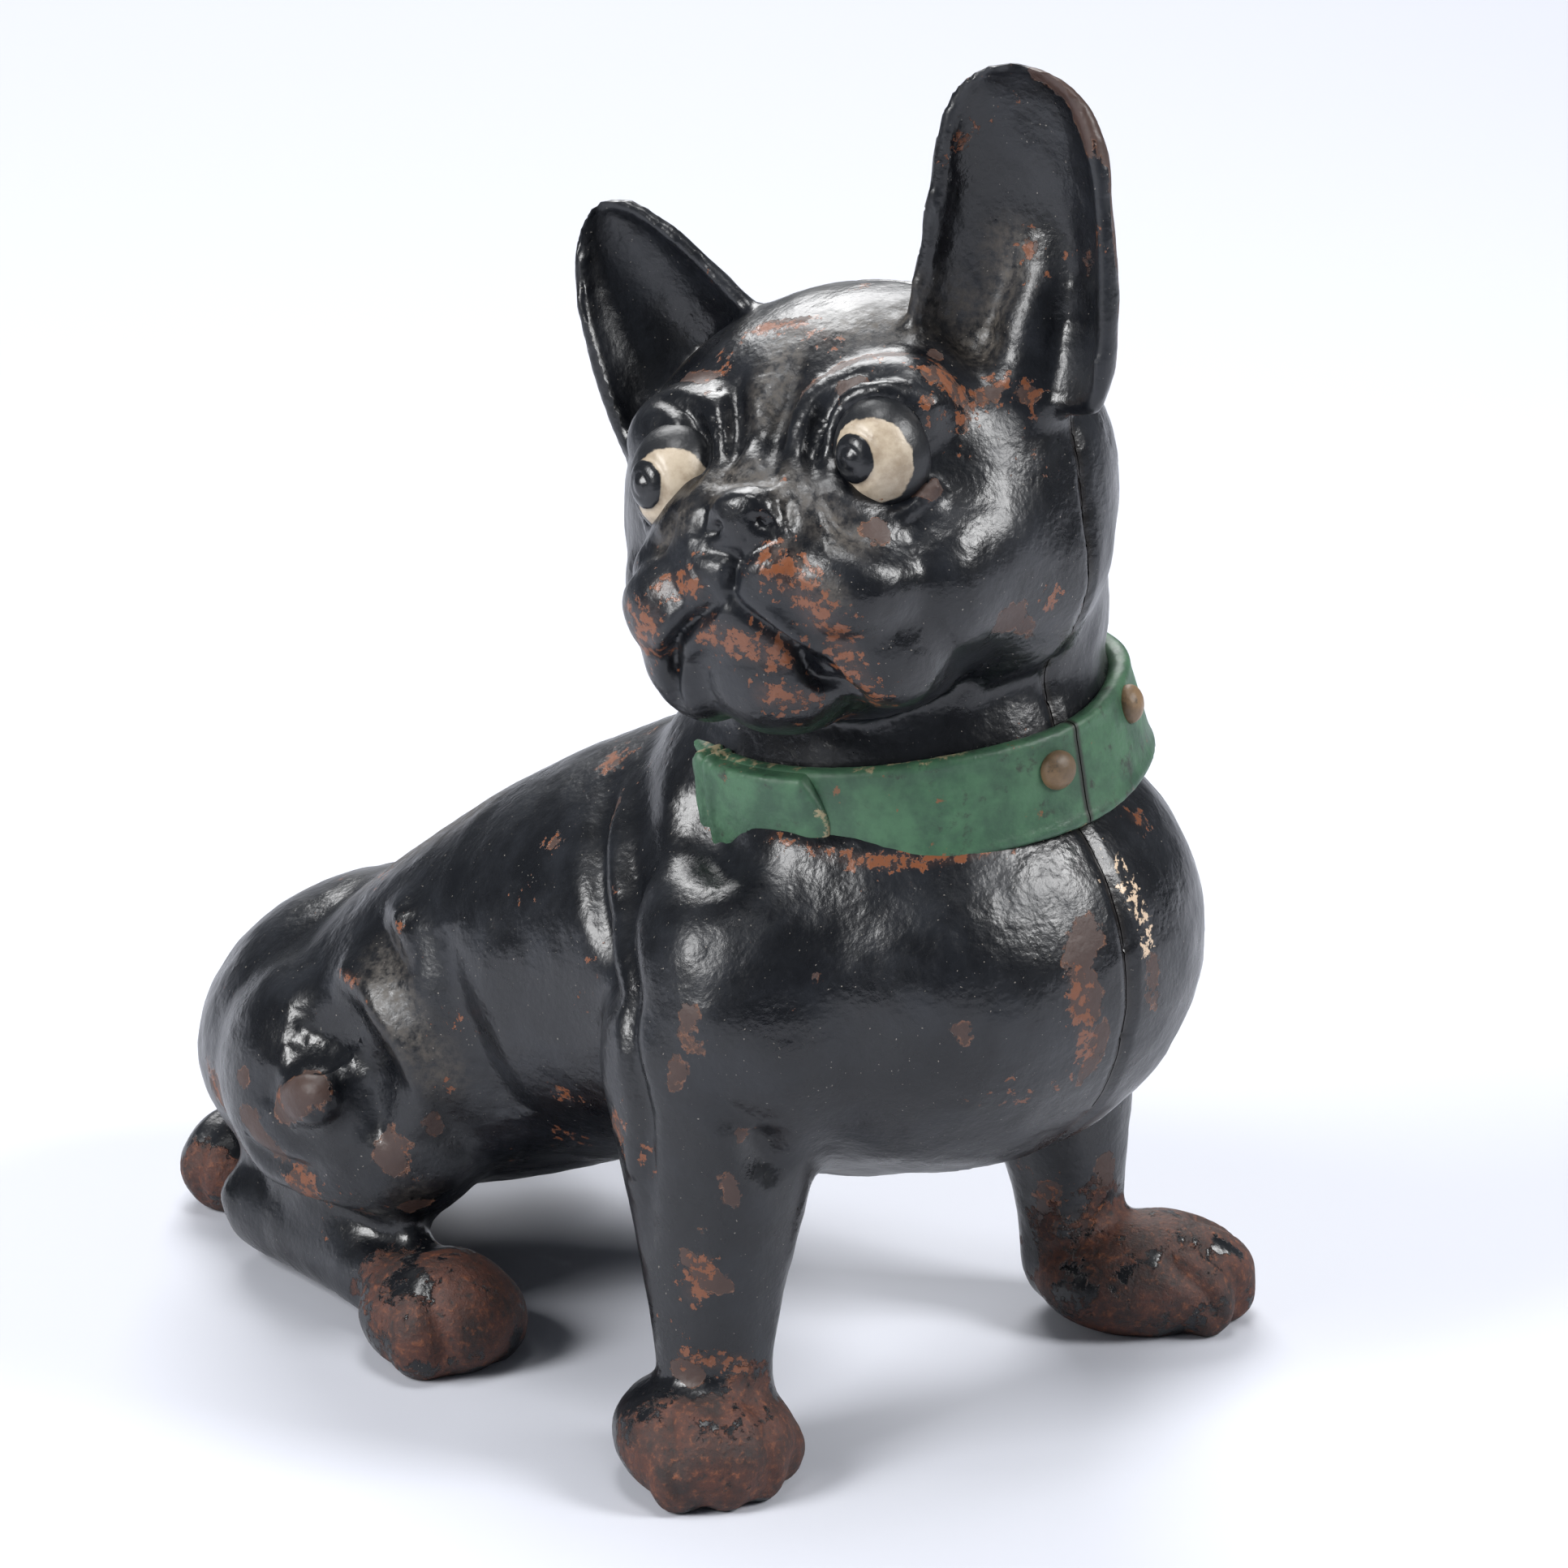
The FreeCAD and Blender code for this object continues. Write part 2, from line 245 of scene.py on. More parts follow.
def paw(centre, reach, width, turn, toes, toeRadius, height=16):
    parts = [ball((*centre, height / 2 - 1), (width / 2, reach / 2, height / 2 + 1), turn=turn)]
    spin = Matrix.Rotation(math.radians(turn), 3, "Z")
    for index in range(toes):
        spread = (index / (toes - 1) - 0.5) * 2
        x = spread * (width / 2 - toeRadius * 1.05)
        y = -(reach / 2 - toeRadius * 0.98) * math.sqrt(1 - 0.62 * spread ** 2)
        place = Vector((*centre, toeRadius + 0.6)) + spin @ Vector((x, y, 0))
        parts.append(ball(place, (toeRadius, toeRadius, toeRadius * 1.25), turn=turn))
    return parts


ears = {
    # share of the length from the tip, half width, depth of the bowl, how far the round back reaches
    "left": {"rings": [(0, 1.4, 0.2, 1.0), (0.02, 4.6, 0.6, 2.2), (0.06, 7.8, 1.6, 3.8),
                       (0.13, 10.4, 3.4, 5.6), (0.26, 12.2, 5.6, 8.0), (0.45, 13.3, 7.2, 10.0),
                       (0.65, 14.4, 7.4, 11.0),
                       (0.85, 15.0, 5.2, 11.4), (1, 13.6, 1.5, 11)],
             "tip": (38.6, -6.2, 54.7), "foot": (26.6, -8.0, 10.0), "turn": 0, "bow": 1.2, "rim": 2.3},
    "right": {"rings": [(0, 1.2, 0.2, 1.0), (0.03, 3.6, 0.9, 2.8), (0.1, 6.2, 2.6, 5.6),
                        (0.25, 9.0, 5.0, 10.0), (0.45, 11.4, 7.6, 14.0), (0.68, 13.6, 9.0, 18.0),
                        (0.86, 14.4, 7.6, 20.5), (1, 13.4, 2.0, 20)],
              "tip": (-31.8, 3.0, 43.6), "foot": (-15.6, 0.0, 8.0), "turn": -18, "bow": -1.0, "rim": 2.2},
}


def tube(name, loops):
    # a closed skin over a row of rings
    mesh = bpy.data.meshes.new(name)
    obj = bpy.data.objects.new(name, mesh)
    bpy.context.scene.collection.objects.link(obj)
    work = bmesh.new()
    rings = [[work.verts.new(p) for p in loop] for loop in loops]
    for a, b in zip(rings, rings[1:]):
        for i in range(len(a)):
            j = (i + 1) % len(a)
            work.faces.new((a[i], a[j], b[j], b[i]))
    work.faces.new(rings[0][::-1])
    work.faces.new(rings[-1])
    bmesh.ops.recalc_face_normals(work, faces=work.faces)
    work.to_mesh(mesh)
    work.free()
    return obj


def ear(shape):
    # rings with a round back and a hollow front, from the tip down into the skull
    tip, foot = Vector(shape["tip"]), Vector(shape["foot"])
    down = (foot - tip).normalized()
    across = Vector((0, 1, 0)).cross(down).normalized()
    across = -across if across.x < 0 else across
    across = Matrix.Rotation(math.radians(shape["turn"]), 3, down) @ across
    behind = across.cross(-down).normalized()
    behind = -behind if behind.y < 0 else behind
    outside, bowl = [], []
    for share, wide, deep, back in smoothLine(shape["rings"], 0.8):
        share = min(max(share, 0), 1)
        middle = tip + (foot - tip) * share + across * (shape["bow"] * math.sin(math.pi * share))
        turns = [2 * math.pi * i / 40 for i in range(40)]
        inner = max(wide - shape["rim"], 0.3)
        skin = [(wide * math.cos(a), (back if math.sin(a) > 0 else 1.1) * math.sin(a)) for a in turns]
        cut = [(inner * math.cos(a), deep * math.sin(a) ** 1.3 if math.sin(a) > 0 else 5 * math.sin(a))
               for a in turns]
        for loops, flat in ((outside, skin), (bowl, cut)):
            loops.append([headPlace @ (middle + across * p + behind * q) for p, q in flat])
    shell, hollow = tube("ear", outside), tube("earBowl", bowl[2:])
    return combine(shell, hollow, "DIFFERENCE")


face = {
    "balls": [
        # centre, radii, tilt: chin, nose, the two hanging lips and their ends
        ((-1.5, -25.5, -15.0), (12.0, 13.0, 11.0), 0),
        ((1.5, -35.0, 5.4), (5.8, 4.6, 4.4), 0),
        ((11.4, -27.6, -5.4), (10.6, 12.2, 9.4), 25),
        ((12.0, -25.0, -13.0), (8.6, 10.4, 11.8), -12),
        ((-11.6, -28, -5.8), (10.2, 12.4, 10.0), -25),
        ((-14.2, -26.5, -13.0), (7.2, 10.0, 10.4), -10),
        # brow bones, cheek bones and the cheek behind the lip
        ((14.0, -15.5, 13.0), (11.0, 9.0, 8.0), 0),
        ((-13.5, -15.5, 13.0), (10.0, 9.0, 8.0), 0),
        ((20.5, -13.0, -6.0), (11.5, 11.0, 11.0), 0),
        ((-20.0, -11.0, -7.0), (10.5, 11.0, 11.0), 0),
        ((4, -16, -17), (17, 14, 10), 0),
        ((18.0, -18.0, -8.0), (11, 12, 12), 0),
    ],
    "rolls": [
        # brow over the left eye, its lid, the same over the right eye
        ([(7.6, -29.5, 6), (5.6, -25, 11), (7.4, -20.5, 15.6), (12, -17, 17.6), (18, -15, 17)],
         [2.2, 2.8, 3.0, 2.8, 2.2]),
        ([(10.0, -27, 7), (10.6, -25.5, 12.2), (13.4, -24, 16.6), (18.0, -22.6, 17.2), (22.8, -20, 14)],
         [1.6, 1.7, 1.8, 1.8, 1.6]),
        ([(-6.0, -29, 7), (-5.6, -24.5, 12), (-8.2, -19.5, 16.6), (-14, -15, 18)], [2.0, 2.6, 2.8, 2.2]),
        ([(-8.6, -27, 7), (-9.4, -25, 12), (-13, -23, 15.8), (-18, -20, 15.4)], [1.6, 1.7, 1.8, 1.6]),
        # the fold inside the left ear
        ([(28.0, -3.4, 13), (31.4, -0.6, 22), (35.6, 1.0, 33)], [5.4, 4.0, 1.2]),
        # lower lids
        ([(10.6, -28.6, 4.0), (14.0, -29.0, 1.0), (18.6, -27.4, 0.8), (22.6, -23, 4)], [1.4, 1.5, 1.5, 1.4]),
        ([(-6.6, -29.0, 4.0), (-10.5, -29.4, 1.0), (-15.6, -28.0, 1.4), (-20, -22.5, 5)],
         [1.4, 1.5, 1.5, 1.4]),
    ],
    "voxel": 1.0, "rounds": 4,
    "fine": ((1, -30, -2), 27),    # where the mesh is made finer: centre, radius
}


def makeDog():
    dog = makeBody()
    parts = [dog]
    for shape in paws.values():
        parts += paw(*shape)
    parts += roll(*body["tail"])
    parts += [ball(centre, radii, tilt=tilt, onHead=True) for centre, radii, tilt in face["balls"]]
    for points, radii in face["rolls"]:
        parts += roll(points, radii, onHead=True)
    parts += [ear(ears["left"]), ear(ears["right"])]
    dog = join(parts, "dogSkin")
    soften(dog, face["voxel"], face["rounds"])
    only(dog)
    bpy.ops.object.mode_set(mode="EDIT")
    bpy.ops.mesh.select_all(action="SELECT")
    bpy.ops.mesh.bisect(plane_co=(0, 0, 0), plane_no=(0, 0, 1), use_fill=True, clear_inner=True)
    bpy.ops.object.mode_set(mode="OBJECT")
    say("skin %d faces" % len(dog.data.polygons))
    return dog


def head(*points):
    # from the head's own frame: one point gives one, several give a line
    moved = [tuple(headPlace @ Vector(p)) for p in points]
    return moved if len(moved) > 1 else moved[0]


class Sculpt:
    def __init__(self, obj):
        self.obj = obj
        self.refresh()

    def refresh(self):
        data = self.obj.data
        self.co = np.zeros(len(data.vertices) * 3)
        data.vertices.foreach_get("co", self.co)
        self.co = self.co.reshape(-1, 3)
        self.no = np.zeros(len(data.vertices) * 3)
        data.vertex_normals.foreach_get("vector", self.no)
        self.no = self.no.reshape(-1, 3)
        self.move = np.zeros(len(self.co))
        self.tree = KDTree(len(self.co))
        for i, p in enumerate(self.co):
            self.tree.insert(p, i)
        self.tree.balance()

    def onSkin(self, p):
        return np.array(self.tree.find(Vector(p))[0])

    def spread(self, points, width, reach=9.0):
        # how near each vertex is to the line, 1 on it to 0 far away, seen along its normal
        line = smoothLine(points, max(0.5, width / 3))
        line = np.array([self.onSkin(p) for p in line])
        for _ in range(6):
            line[1:-1] = (line[:-2] + 2 * line[1:-1] + line[2:]) / 4
        far = 3 * width
        near = np.all((self.co > line.min(0) - far) & (self.co < line.max(0) + far), 1)
        index = np.nonzero(near)[0]
        best = np.full(len(index), 1e9)
        where = np.zeros(len(index))
        for k, p in enumerate(line):
            d = self.co[index] - p
            deep = (d * self.no[index]).sum(1)
            flat = (d * d).sum(1) - deep ** 2 + np.where(np.abs(deep) > reach, 1e6, 0) + 0.15 * deep ** 2
            closer = flat < best
            best[closer] = flat[closer]
            where[closer] = k
        return index, best, where, len(line)

    def stroke(self, points, width, depth, taper=True):
        index, best, where, count = self.spread(points, width)
        weight = np.exp(-best / width ** 2)
        if taper and count > 3:
            weight = weight * np.sin(math.pi * np.clip((where + 0.5) / count, 0, 1)) ** 0.6
        self.move[index] += weight * depth

    def apply(self):
        self.co += self.no * self.move[:, None]
        self.obj.data.vertices.foreach_set("co", self.co.ravel())
        self.obj.data.update()
        self.refresh()


folds = {
    # each is a line near the skin, its width, and how far it rises or, below 0, sinks
    # behind the right shoulder, and the loose fold in front of it
    "behindShoulder": ([(-20, 19, 90), (-29, 13, 84), (-34, 8, 77), (-39, 2, 71), (-45, -8, 67)], 2.4, -2.2),
    "onShoulder": ([(-31, 5, 85), (-39, -3, 78), (-44, -10, 72), (-48, -11, 66), (-50, -14, 57),
                    (-49, -14, 45), (-47, -13, 34)], 1.8, -1.7),
    "shoulderRoll": ([(-26, 12, 87), (-34, 3, 79), (-42, -6, 71)], 3.2, 1.9),
    "shoulderMass": ([(-42, -18, 76), (-44, -20, 70)], 8.0, 1.2),
    "upperFold": ([(-24, 2, 95), (-31, -3, 88), (-38, -10, 80)], 4.0, 1.2),
    "neckFold": ([(-28, -6, 96), (-33, -11, 89), (-37, -20, 84)], 4.0, -2.4),
    "underCollar": ([(-31, -16, 91), (-30, -26, 90), (-24, -35, 90)], 3.2, 1.4),
    "chestMass": ([(-24, -49, 76), (-20, -52, 70)], 11.0, 1.6),
    "armpit": ([(-42, -29, 54), (-40, -28, 50), (-36, -27, 46)], 2.6, -2.4),
    "armpitUp": ([(-46, -25, 58), (-43, -28, 54)], 2.2, -1.0),
    "elbow": ([(-49, -13, 50), (-48, -12, 44)], 3.0, 0.9),
    # hips
    "flankFold": ([(-36, 40, 66), (-38, 35, 56), (-37, 31, 44), (-33, 28, 34)], 4.6, -3.0),
    "hipArch": ([(-38, 60, 56), (-39, 51, 54), (-39, 44, 48), (-38, 40.5, 40), (-37, 42, 32)], 3.2, 2.6),
    "hipHollow": ([(-42, 66, 45), (-42, 58, 46), (-41, 52, 44)], 4.6, -3.4),
    "hipHollowLow": ([(-41, 49, 42), (-41, 47, 36), (-41, 48, 31)], 3.0, -2.2),
    "tailHollow": ([(-43, 68, 36), (-43, 60, 33)], 3.4, -1.6),
    "hipDimple": ([(-33, 56, 63), (-35, 49, 60), (-36, 44, 57)], 2.6, -1.6),
    "hipKnob": ([(-33, 50, 65), (-34, 46, 63)], 3.4, 1.6),
    "rumpCrease": ([(-42, 74, 25), (-44, 66, 24), (-43, 56, 25)], 1.8, -1.6),
    "thighCrease": ([(-34, 80, 17), (-38, 66, 17), (-38, 52, 16), (-35, 42, 17)], 2.2, -2.0),
    "kneeRoll": ([(-36, 44, 26), (-33, 36, 26), (-28, 30, 26)], 5.0, 1.2),
    # the left side
    "behindLeftShoulder": ([(22, 19, 90), (30, 13, 84), (35, 8, 77), (40, 2, 71), (45, -8, 67)], 2.4, -2.0),
    "leftShoulderRoll": ([(27, 12, 87), (35, 3, 79), (42, -6, 71)], 3.2, 1.7),
    "onLeftShoulder": ([(32, 5, 85), (39, -3, 78), (44, -10, 72), (48, -12, 62), (50, -14, 48)], 1.8, -1.4),
    "leftNeckFold": ([(31, -7, 96), (35, -14, 88), (36, -26, 82)], 3.6, -2.0),
    "leftChestValley": ([(34, -38, 74), (36, -36, 66), (34, -33, 56)], 6.5, -1.0),
    "leftFlankFold": ([(34, 38, 64), (37, 33, 54), (36, 29, 42), (30, 26, 32)], 4.6, -3.0),
    "leftHip": ([(36, 62, 52), (38, 50, 50), (38, 42, 40)], 4.0, 1.6),
    "leftRumpCrease": ([(34, 82, 20), (40, 70, 19), (40, 56, 18)], 2.4, -1.8),
    # legs and feet
    "wristRight": ([(-47, -19, 19), (-42, -27, 18)], 3.0, -0.8),
    "wristLeft": ([(44, -26, 19), (38, -28, 18)], 3.0, -0.8),
    "heel": ([(-34, 84, 10), (-30, 90, 11)], 3.0, 0.8),
    "belly": ([(-10, -30, 38), (10, -30, 38)], 10.0, -1.0),
}

toes = {
    "rightPaw": [[(-53, -21, 14), (-55.5, -25, 9), (-56, -26, 3)],
                 [(-47, -26, 14), (-49.5, -31, 9), (-50, -32, 3)],
                 [(-41, -27, 14), (-42.5, -32, 9), (-43, -33, 3)]],
    "leftPaw": [[(43, -36, 13), (47, -40, 9), (49, -42, 3)], [(49, -32, 13), (53, -35, 9), (55, -37, 3)],
                [(38, -37, 13), (40, -42, 9), (41, -45, 3)]],
    "rightFoot": [[(-44, 34, 15), (-47, 28, 10), (-47, 27, 3)]],
    "leftFoot": [[(-16, 104, 14), (-22, 104, 9), (-24, 104, 3)]],
}

toeWidth, toeDepth = 1.3, -0.9

faceStrokes = {
    "browGroove": (head((9, -30, 6.5), (8.4, -26.5, 11), (10.2, -22.5, 15.6), (14, -20, 17),
                        (19.5, -18.5, 16.2)), 1.2, -1.5),
    "browGrooveLeft": (head((-7.2, -30, 7), (-7.6, -25.5, 12.4), (-10.6, -21.5, 16.4), (-16, -18, 17)),
                       1.2, -1.4),
    "furrow": (head((3.6, -15, 21.5), (2.8, -21, 17), (2.6, -26, 12), (4.6, -31, 7.5)), 1.7, -1.6),
    "furrowLeft": (head((-5.4, -16, 20.5), (-4, -22, 16), (-3, -27, 11.5), (-4, -31.5, 7.5)), 1.5, -1.3),
    "brow": (head((-1, -17, 20), (-0.8, -22, 15.6)), 2.6, 0.9),
    "stop": (head((-4, -31.5, 9), (0.5, -32, 9.6), (5.5, -31.5, 8.6)), 2.2, -1.4),
    "cornerRight": (head((10, -31, 4.6), (13, -32.5, 1), (15.5, -32, -0.8)), 1.5, -1.1),
    "cornerLeft": (head((-8, -31.5, 4.6), (-11, -32.5, 0.8), (-15.5, -31, -1.6)), 1.5, -1.2),
    "underEye": (head((16, -32, -2), (21, -28, -1.6), (24, -24, 0.5)), 3.2, -0.6),
    "noseUnder": (head((-4.2, -38, 2.4), (1.2, -39.6, 1.0), (6.6, -38, 2.2)), 1.0, -1.1),
    "noseTop": (head((-2.6, -38, 8), (1.5, -38.6, 9), (5.4, -38, 8)), 1.5, 0.5),
    "noseSideRight": (head((7.6, -36, 8), (8.0, -37.5, 3.6)), 1.2, -1.0),
    "noseSideLeft": (head((-4.8, -36, 8), (-5.0, -37.5, 3.6)), 1.2, -1.0),
    "nostrilRight": (head((4.6, -39.4, 5.0), (6.2, -38.8, 4.4)), 0.8, -1.2),
    "nostrilLeft": (head((-1.8, -39.4, 5.0), (-3.4, -38.6, 4.4)), 0.8, -1.2),
    "philtrum": (head((0.9, -39.6, 1.5), (0.2, -40.6, -1), (-0.9, -40.8, -4.2)), 1.0, -1.7),
    "lipRight": (head((-0.8, -40.6, -4), (1.8, -40, -7.4), (4.2, -39, -11), (6.6, -38, -14.8),
                      (8.0, -36, -18.5),
                      (9.6, -33, -22.6)), 1.1, -2.2),
    "lipLeft": (head((-1.8, -40.6, -4), (-5.6, -40.5, -6), (-9.6, -40, -9), (-12.4, -38.5, -12),
                     (-14.8, -36, -16.5), (-15.6, -33, -20.5)), 1.1, -2.2),
    "lipEdgeRight": (head((3.4, -41, -6), (6.0, -40, -10), (8.6, -38.5, -14), (10.4, -36, -18.5)), 1.5, 1.0),
    "lipEdgeLeft": (head((-6, -41.5, -3.6), (-10.6, -41, -7), (-14.4, -39, -11.5)), 1.5, 0.9),
    "padRight": (head((4, -39.5, 0), (7.5, -39, -2.5)), 2.6, 0.8),
    "padLeft": (head((-5, -39.5, -0.5), (-8.5, -39, -3)), 2.6, 0.8),
    "cheekFold": (head((12, -36, 1.5), (17, -34, 0), (20.8, -31.5, -4)), 2.6, -0.7),
    "cheekFoldLeft": (head((-13, -36, 1), (-18.6, -32, -2), (-22, -27, -8), (-21, -24, -16)), 2.0, -1.2),
    "temple": (head((25, -18, 8), (30, -10, 8)), 6.0, 1.0),
    "jaw": (head((6, -19, -27), (20, -9, -27.5), (28, 2, -24)), 2.2, 0.9),
    "jawFold": (head((14, -20, -24), (21, -13, -22), (28, -4, -19)), 3.2, -0.8),
    "earRootFront": (head((17, -2, 24.5), (24, -5, 19), (31, -3, 14)), 2.6, -0.9),
}


def sculptDog(dog):
    work = Sculpt(dog)
    for points, width, depth in folds.values():
        work.stroke(points, width, depth)
    work.apply()
    say("folds cut")
    for grooves in toes.values():
        for points in grooves:
            work.stroke(points, toeWidth, toeDepth, taper=False)
    work.apply()
    # finer mesh for the face
    only(dog)
    middle, radius = face["fine"]
    data = dog.data
    centres = np.zeros(len(data.polygons) * 3)
    data.polygons.foreach_get("center", centres)
    chosen = np.linalg.norm(centres.reshape(-1, 3) - np.array(head(middle)), axis=1) < radius
    data.vertices.foreach_set("select", np.zeros(len(data.vertices), bool))
    data.edges.foreach_set("select", np.zeros(len(data.edges), bool))
    data.polygons.foreach_set("select", chosen)
    bpy.ops.object.mode_set(mode="EDIT")
    bpy.ops.mesh.select_mode(type="FACE")
    bpy.ops.mesh.subdivide(number_cuts=1, smoothness=0.0)
    bpy.ops.object.mode_set(mode="OBJECT")
    work.refresh()
    for points, width, depth in faceStrokes.values():
        work.stroke(points, width, depth)
    work.apply()
    say("face cut")


calmPlaces = [
    # smooth places of the cheek, chest, left shoulder and ear: centre, radius, rounds of smoothing
    (head((30, -12, -3)), 17, 120), (head((24, -13, -17)), 12, 70), ((-34, -33, 78), 17, 110),
    ((36, -4, 84), 26, 60), (head((26, -14, 10)), 8, 40), (head((35, -2, 30)), 10, 40),
]


def calm(obj, centre, radius, times):
    group = obj.vertex_groups.new(name="calm")
    apart = np.linalg.norm(vertexPlaces(obj) - np.array(centre), axis=1)
    weight = np.clip((1 - apart / radius) * 2, 0, 1)
    for i in np.nonzero(weight)[0]:
        group.add([int(i)], float(weight[i]), "REPLACE")
    finish(obj, "SMOOTH", "calm", factor=0.5, iterations=times, vertex_group="calm")
    obj.vertex_groups.clear()


dog = makeDog()
sculptDog(dog)
for centre, radius, times in calmPlaces:
    calm(dog, centre, radius, times)

casting = {
    "wall": 4.0, "gap": 0.1, "seamDepth": 1.0, "seamWidth": 0.8, "hollowVoxel": 2.2, "hollowRounds": 8,
    "neckHollow": ((2, -17.5, 99), (25, 25, 30)), "headHollow": ((0, 4, -1), (30.5, 28.5, 25)),
    "lumps": [(13, 0.7), (5, 0.28), (2.4, 0.12)],    # size, height
    "bossRadius": 8.5, "boreRadius": 2.75, "boreEnd": -10, "recessRadius": 6.6, "seatRoom": 0.04,
    "slot": {"size": (4.8, 38, 24), "middle": (0, 46.4, 80.6), "slope": 31},
    "pocket": (4.2, 9.9, 9.9),
}
screwPlaces = {}
for name in ("shoulder", "hip"):
    low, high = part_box(name + "_screw")
    middle = intoFrame.inverted() @ ((low + high) / 2)
    seat = (intoFrame.inverted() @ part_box(name + "_washer")[0]).x
    screwPlaces[name] = (middle.y, middle.z, seat)


def roughCast(obj):
    # the sand of the mould leaves lumps of a few sizes
    for count, (size, height) in enumerate(casting["lumps"]):
        texture = bpy.data.textures.new("sand%d" % count, "CLOUDS")
        texture.noise_scale = size
        texture.noise_depth = 1
        finish(obj, "DISPLACE", "sand", texture=texture, strength=height, mid_level=0.5,
               texture_coords="LOCAL", direction="NORMAL")
        bpy.data.textures.remove(texture)


far = 90    # beyond the casting's sides


def rod(radius, low, high, y, z, sides=48):
    bpy.ops.mesh.primitive_cylinder_add(vertices=sides, radius=radius, depth=high - low,
                                        location=((low + high) / 2, y, z), rotation=(0, math.pi / 2, 0))
    return placed(bpy.context.object, Matrix.Identity(4))


def block(size, middle, slope=0):
    bpy.ops.mesh.primitive_cube_add(size=1)
    matrix = Matrix.Translation(middle) @ Matrix.Rotation(math.radians(-slope), 4, "X")
    return placed(bpy.context.object, matrix @ Matrix.Diagonal((*size, 1)))


def makeHollow():
    wall = casting["wall"]
    parts = [makeTrunk(wall)]
    for centre, radii, pitch in body["balls"][:2]:    # chest and rump
        parts.append(ball(centre, [r - wall for r in radii], pitch=pitch))
    parts.append(ball(*casting["neckHollow"]))
    parts.append(ball(*casting["headHollow"], onHead=True))
    hollow = join(parts, "hollow")
    soften(hollow, casting["hollowVoxel"], casting["hollowRounds"])
    for y, z, seat in screwPlaces.values():
        combine(hollow, rod(casting["bossRadius"], -far, far, y, z), "DIFFERENCE")
    return hollow


def seamGroove(dog):
    work = Sculpt(dog)
    x = work.co[:, 0]
    wobble = 1 + 0.35 * np.sin(work.co[:, 2] / 5.0) + 0.25 * np.sin(work.co[:, 1] / 3.3)
    work.move -= casting["seamDepth"] * wobble * np.exp(-(x / casting["seamWidth"]) ** 2)
    work.apply()


def splitAtSeam(obj, name, side):
    piece = copied(obj, name)
    combine(piece, block((200, 500, 400), (side * (100 + casting["gap"]), 0, 100)), "INTERSECT")
    return piece


def makeHalf(side, name, hollow):
    half = splitAtSeam(dog, name, side)
    combine(half, hollow, "DIFFERENCE", keep=True)
    slot, (deep, wide, tall) = casting["slot"], casting["pocket"]
    cutters = [block(slot["size"], slot["middle"], slot["slope"])]
    for y, z, seat in screwPlaces.values():
        cutters.append(rod(casting["boreRadius"], casting["boreEnd"], far, y, z))
        cutters.append(rod(casting["recessRadius"], seat - casting["seatRoom"], far, y, z))
        if side < 0:
            cutters.append(block((2 * deep, wide, tall), (0, y, z)))
    for tool in cutters:
        combine(half, tool, "DIFFERENCE")
    say("%s %d faces" % (name, len(half.data.polygons)))
    return half


roughCast(dog)
seamGroove(dog)
hollow = makeHollow()
halves = {"right": makeHalf(-1, "right_casting_shell", hollow),
          "left": makeHalf(1, "left_casting_shell", hollow)}
skinTree = KDTree(len(dog.data.vertices))
for i, v in enumerate(dog.data.vertices):
    skinTree.insert(v.co, i)
skinTree.balance()
bpy.data.objects.remove(hollow)
bpy.data.objects.remove(dog)

collar = {
    "centre": (2, -17.5, 99), "lean": (-0.14, 0.08, 1),
    # the sections of the strap and of a keeper: radius, height
    "strap": [(27.2, -8.4), (32.2, -8.8), (33.2, -8.4), (33.3, -7.6), (32.7, -6.8), (32.2, -3), (31.6, 1.6),
              (31.2, 3.6), (31.4, 4.4), (31.1, 5.1), (30.2, 5.4), (27.2, 5.2)],
    "end": {"from": 158, "to": 200, "radius": 33.4, "low": -8.0, "high": 5.0, "point": -2.4, "tip": 3},
    "keepers": [(160, 162.6), (164.6, 166.8)],
    "keeper": [(29, -8.9), (33.5, -8.9), (34.2, -8.2), (34.3, -1), (33.6, 5.4), (32.9, 5.9), (29, 5.9)],
    "studs": [(-101, 0.2), (-64, 1.6)], "stud": (1.9, 2.8, 2.7), "studOut": 31.8,
    # paint worn at the strap's edges, at its end and on the keepers: where it starts, over how much
    "edge": {"middle": -1.7, "sides": (5.8, 1.6), "end": (194, 5), "out": (34.1, 0.4)},
}
axis = Vector(collar["lean"]).normalized()
collarPlace = Vector((0, 0, 1)).rotation_difference(axis).to_matrix().to_4x4()
collarPlace = Matrix.Translation(collar["centre"]) @ collarPlace


def onCollar(angle, radius, height):
    # a place on the strap, which isn't quite round or level
    a = math.radians(angle)
    radius += 0.35 * math.sin(2 * a + 0.7) + 0.16 * math.sin(7 * a)
    height += 0.45 * math.sin(2 * a + 1.2) + 0.2 * math.sin(5 * a + 0.4)
    return collarPlace @ Vector((radius * math.cos(a), radius * math.sin(a), height))


def makeStrap():
    loops = [[onCollar(angle, r, z) for r, z in collar["strap"]] for angle in np.arange(0, 360, 2.0)]
    strap = tube("strap", loops)
    work = bmesh.new()
    work.from_mesh(strap.data)
    ends = [f for f in work.faces if len(f.verts) == len(collar["strap"])]
    bmesh.ops.delete(work, geom=ends, context="FACES_ONLY")
    rim = [e for e in work.edges if e.is_boundary]
    bmesh.ops.bridge_loops(work, edges=rim)
    bmesh.ops.recalc_face_normals(work, faces=work.faces)
    work.to_mesh(strap.data)
    work.free()
    return strap


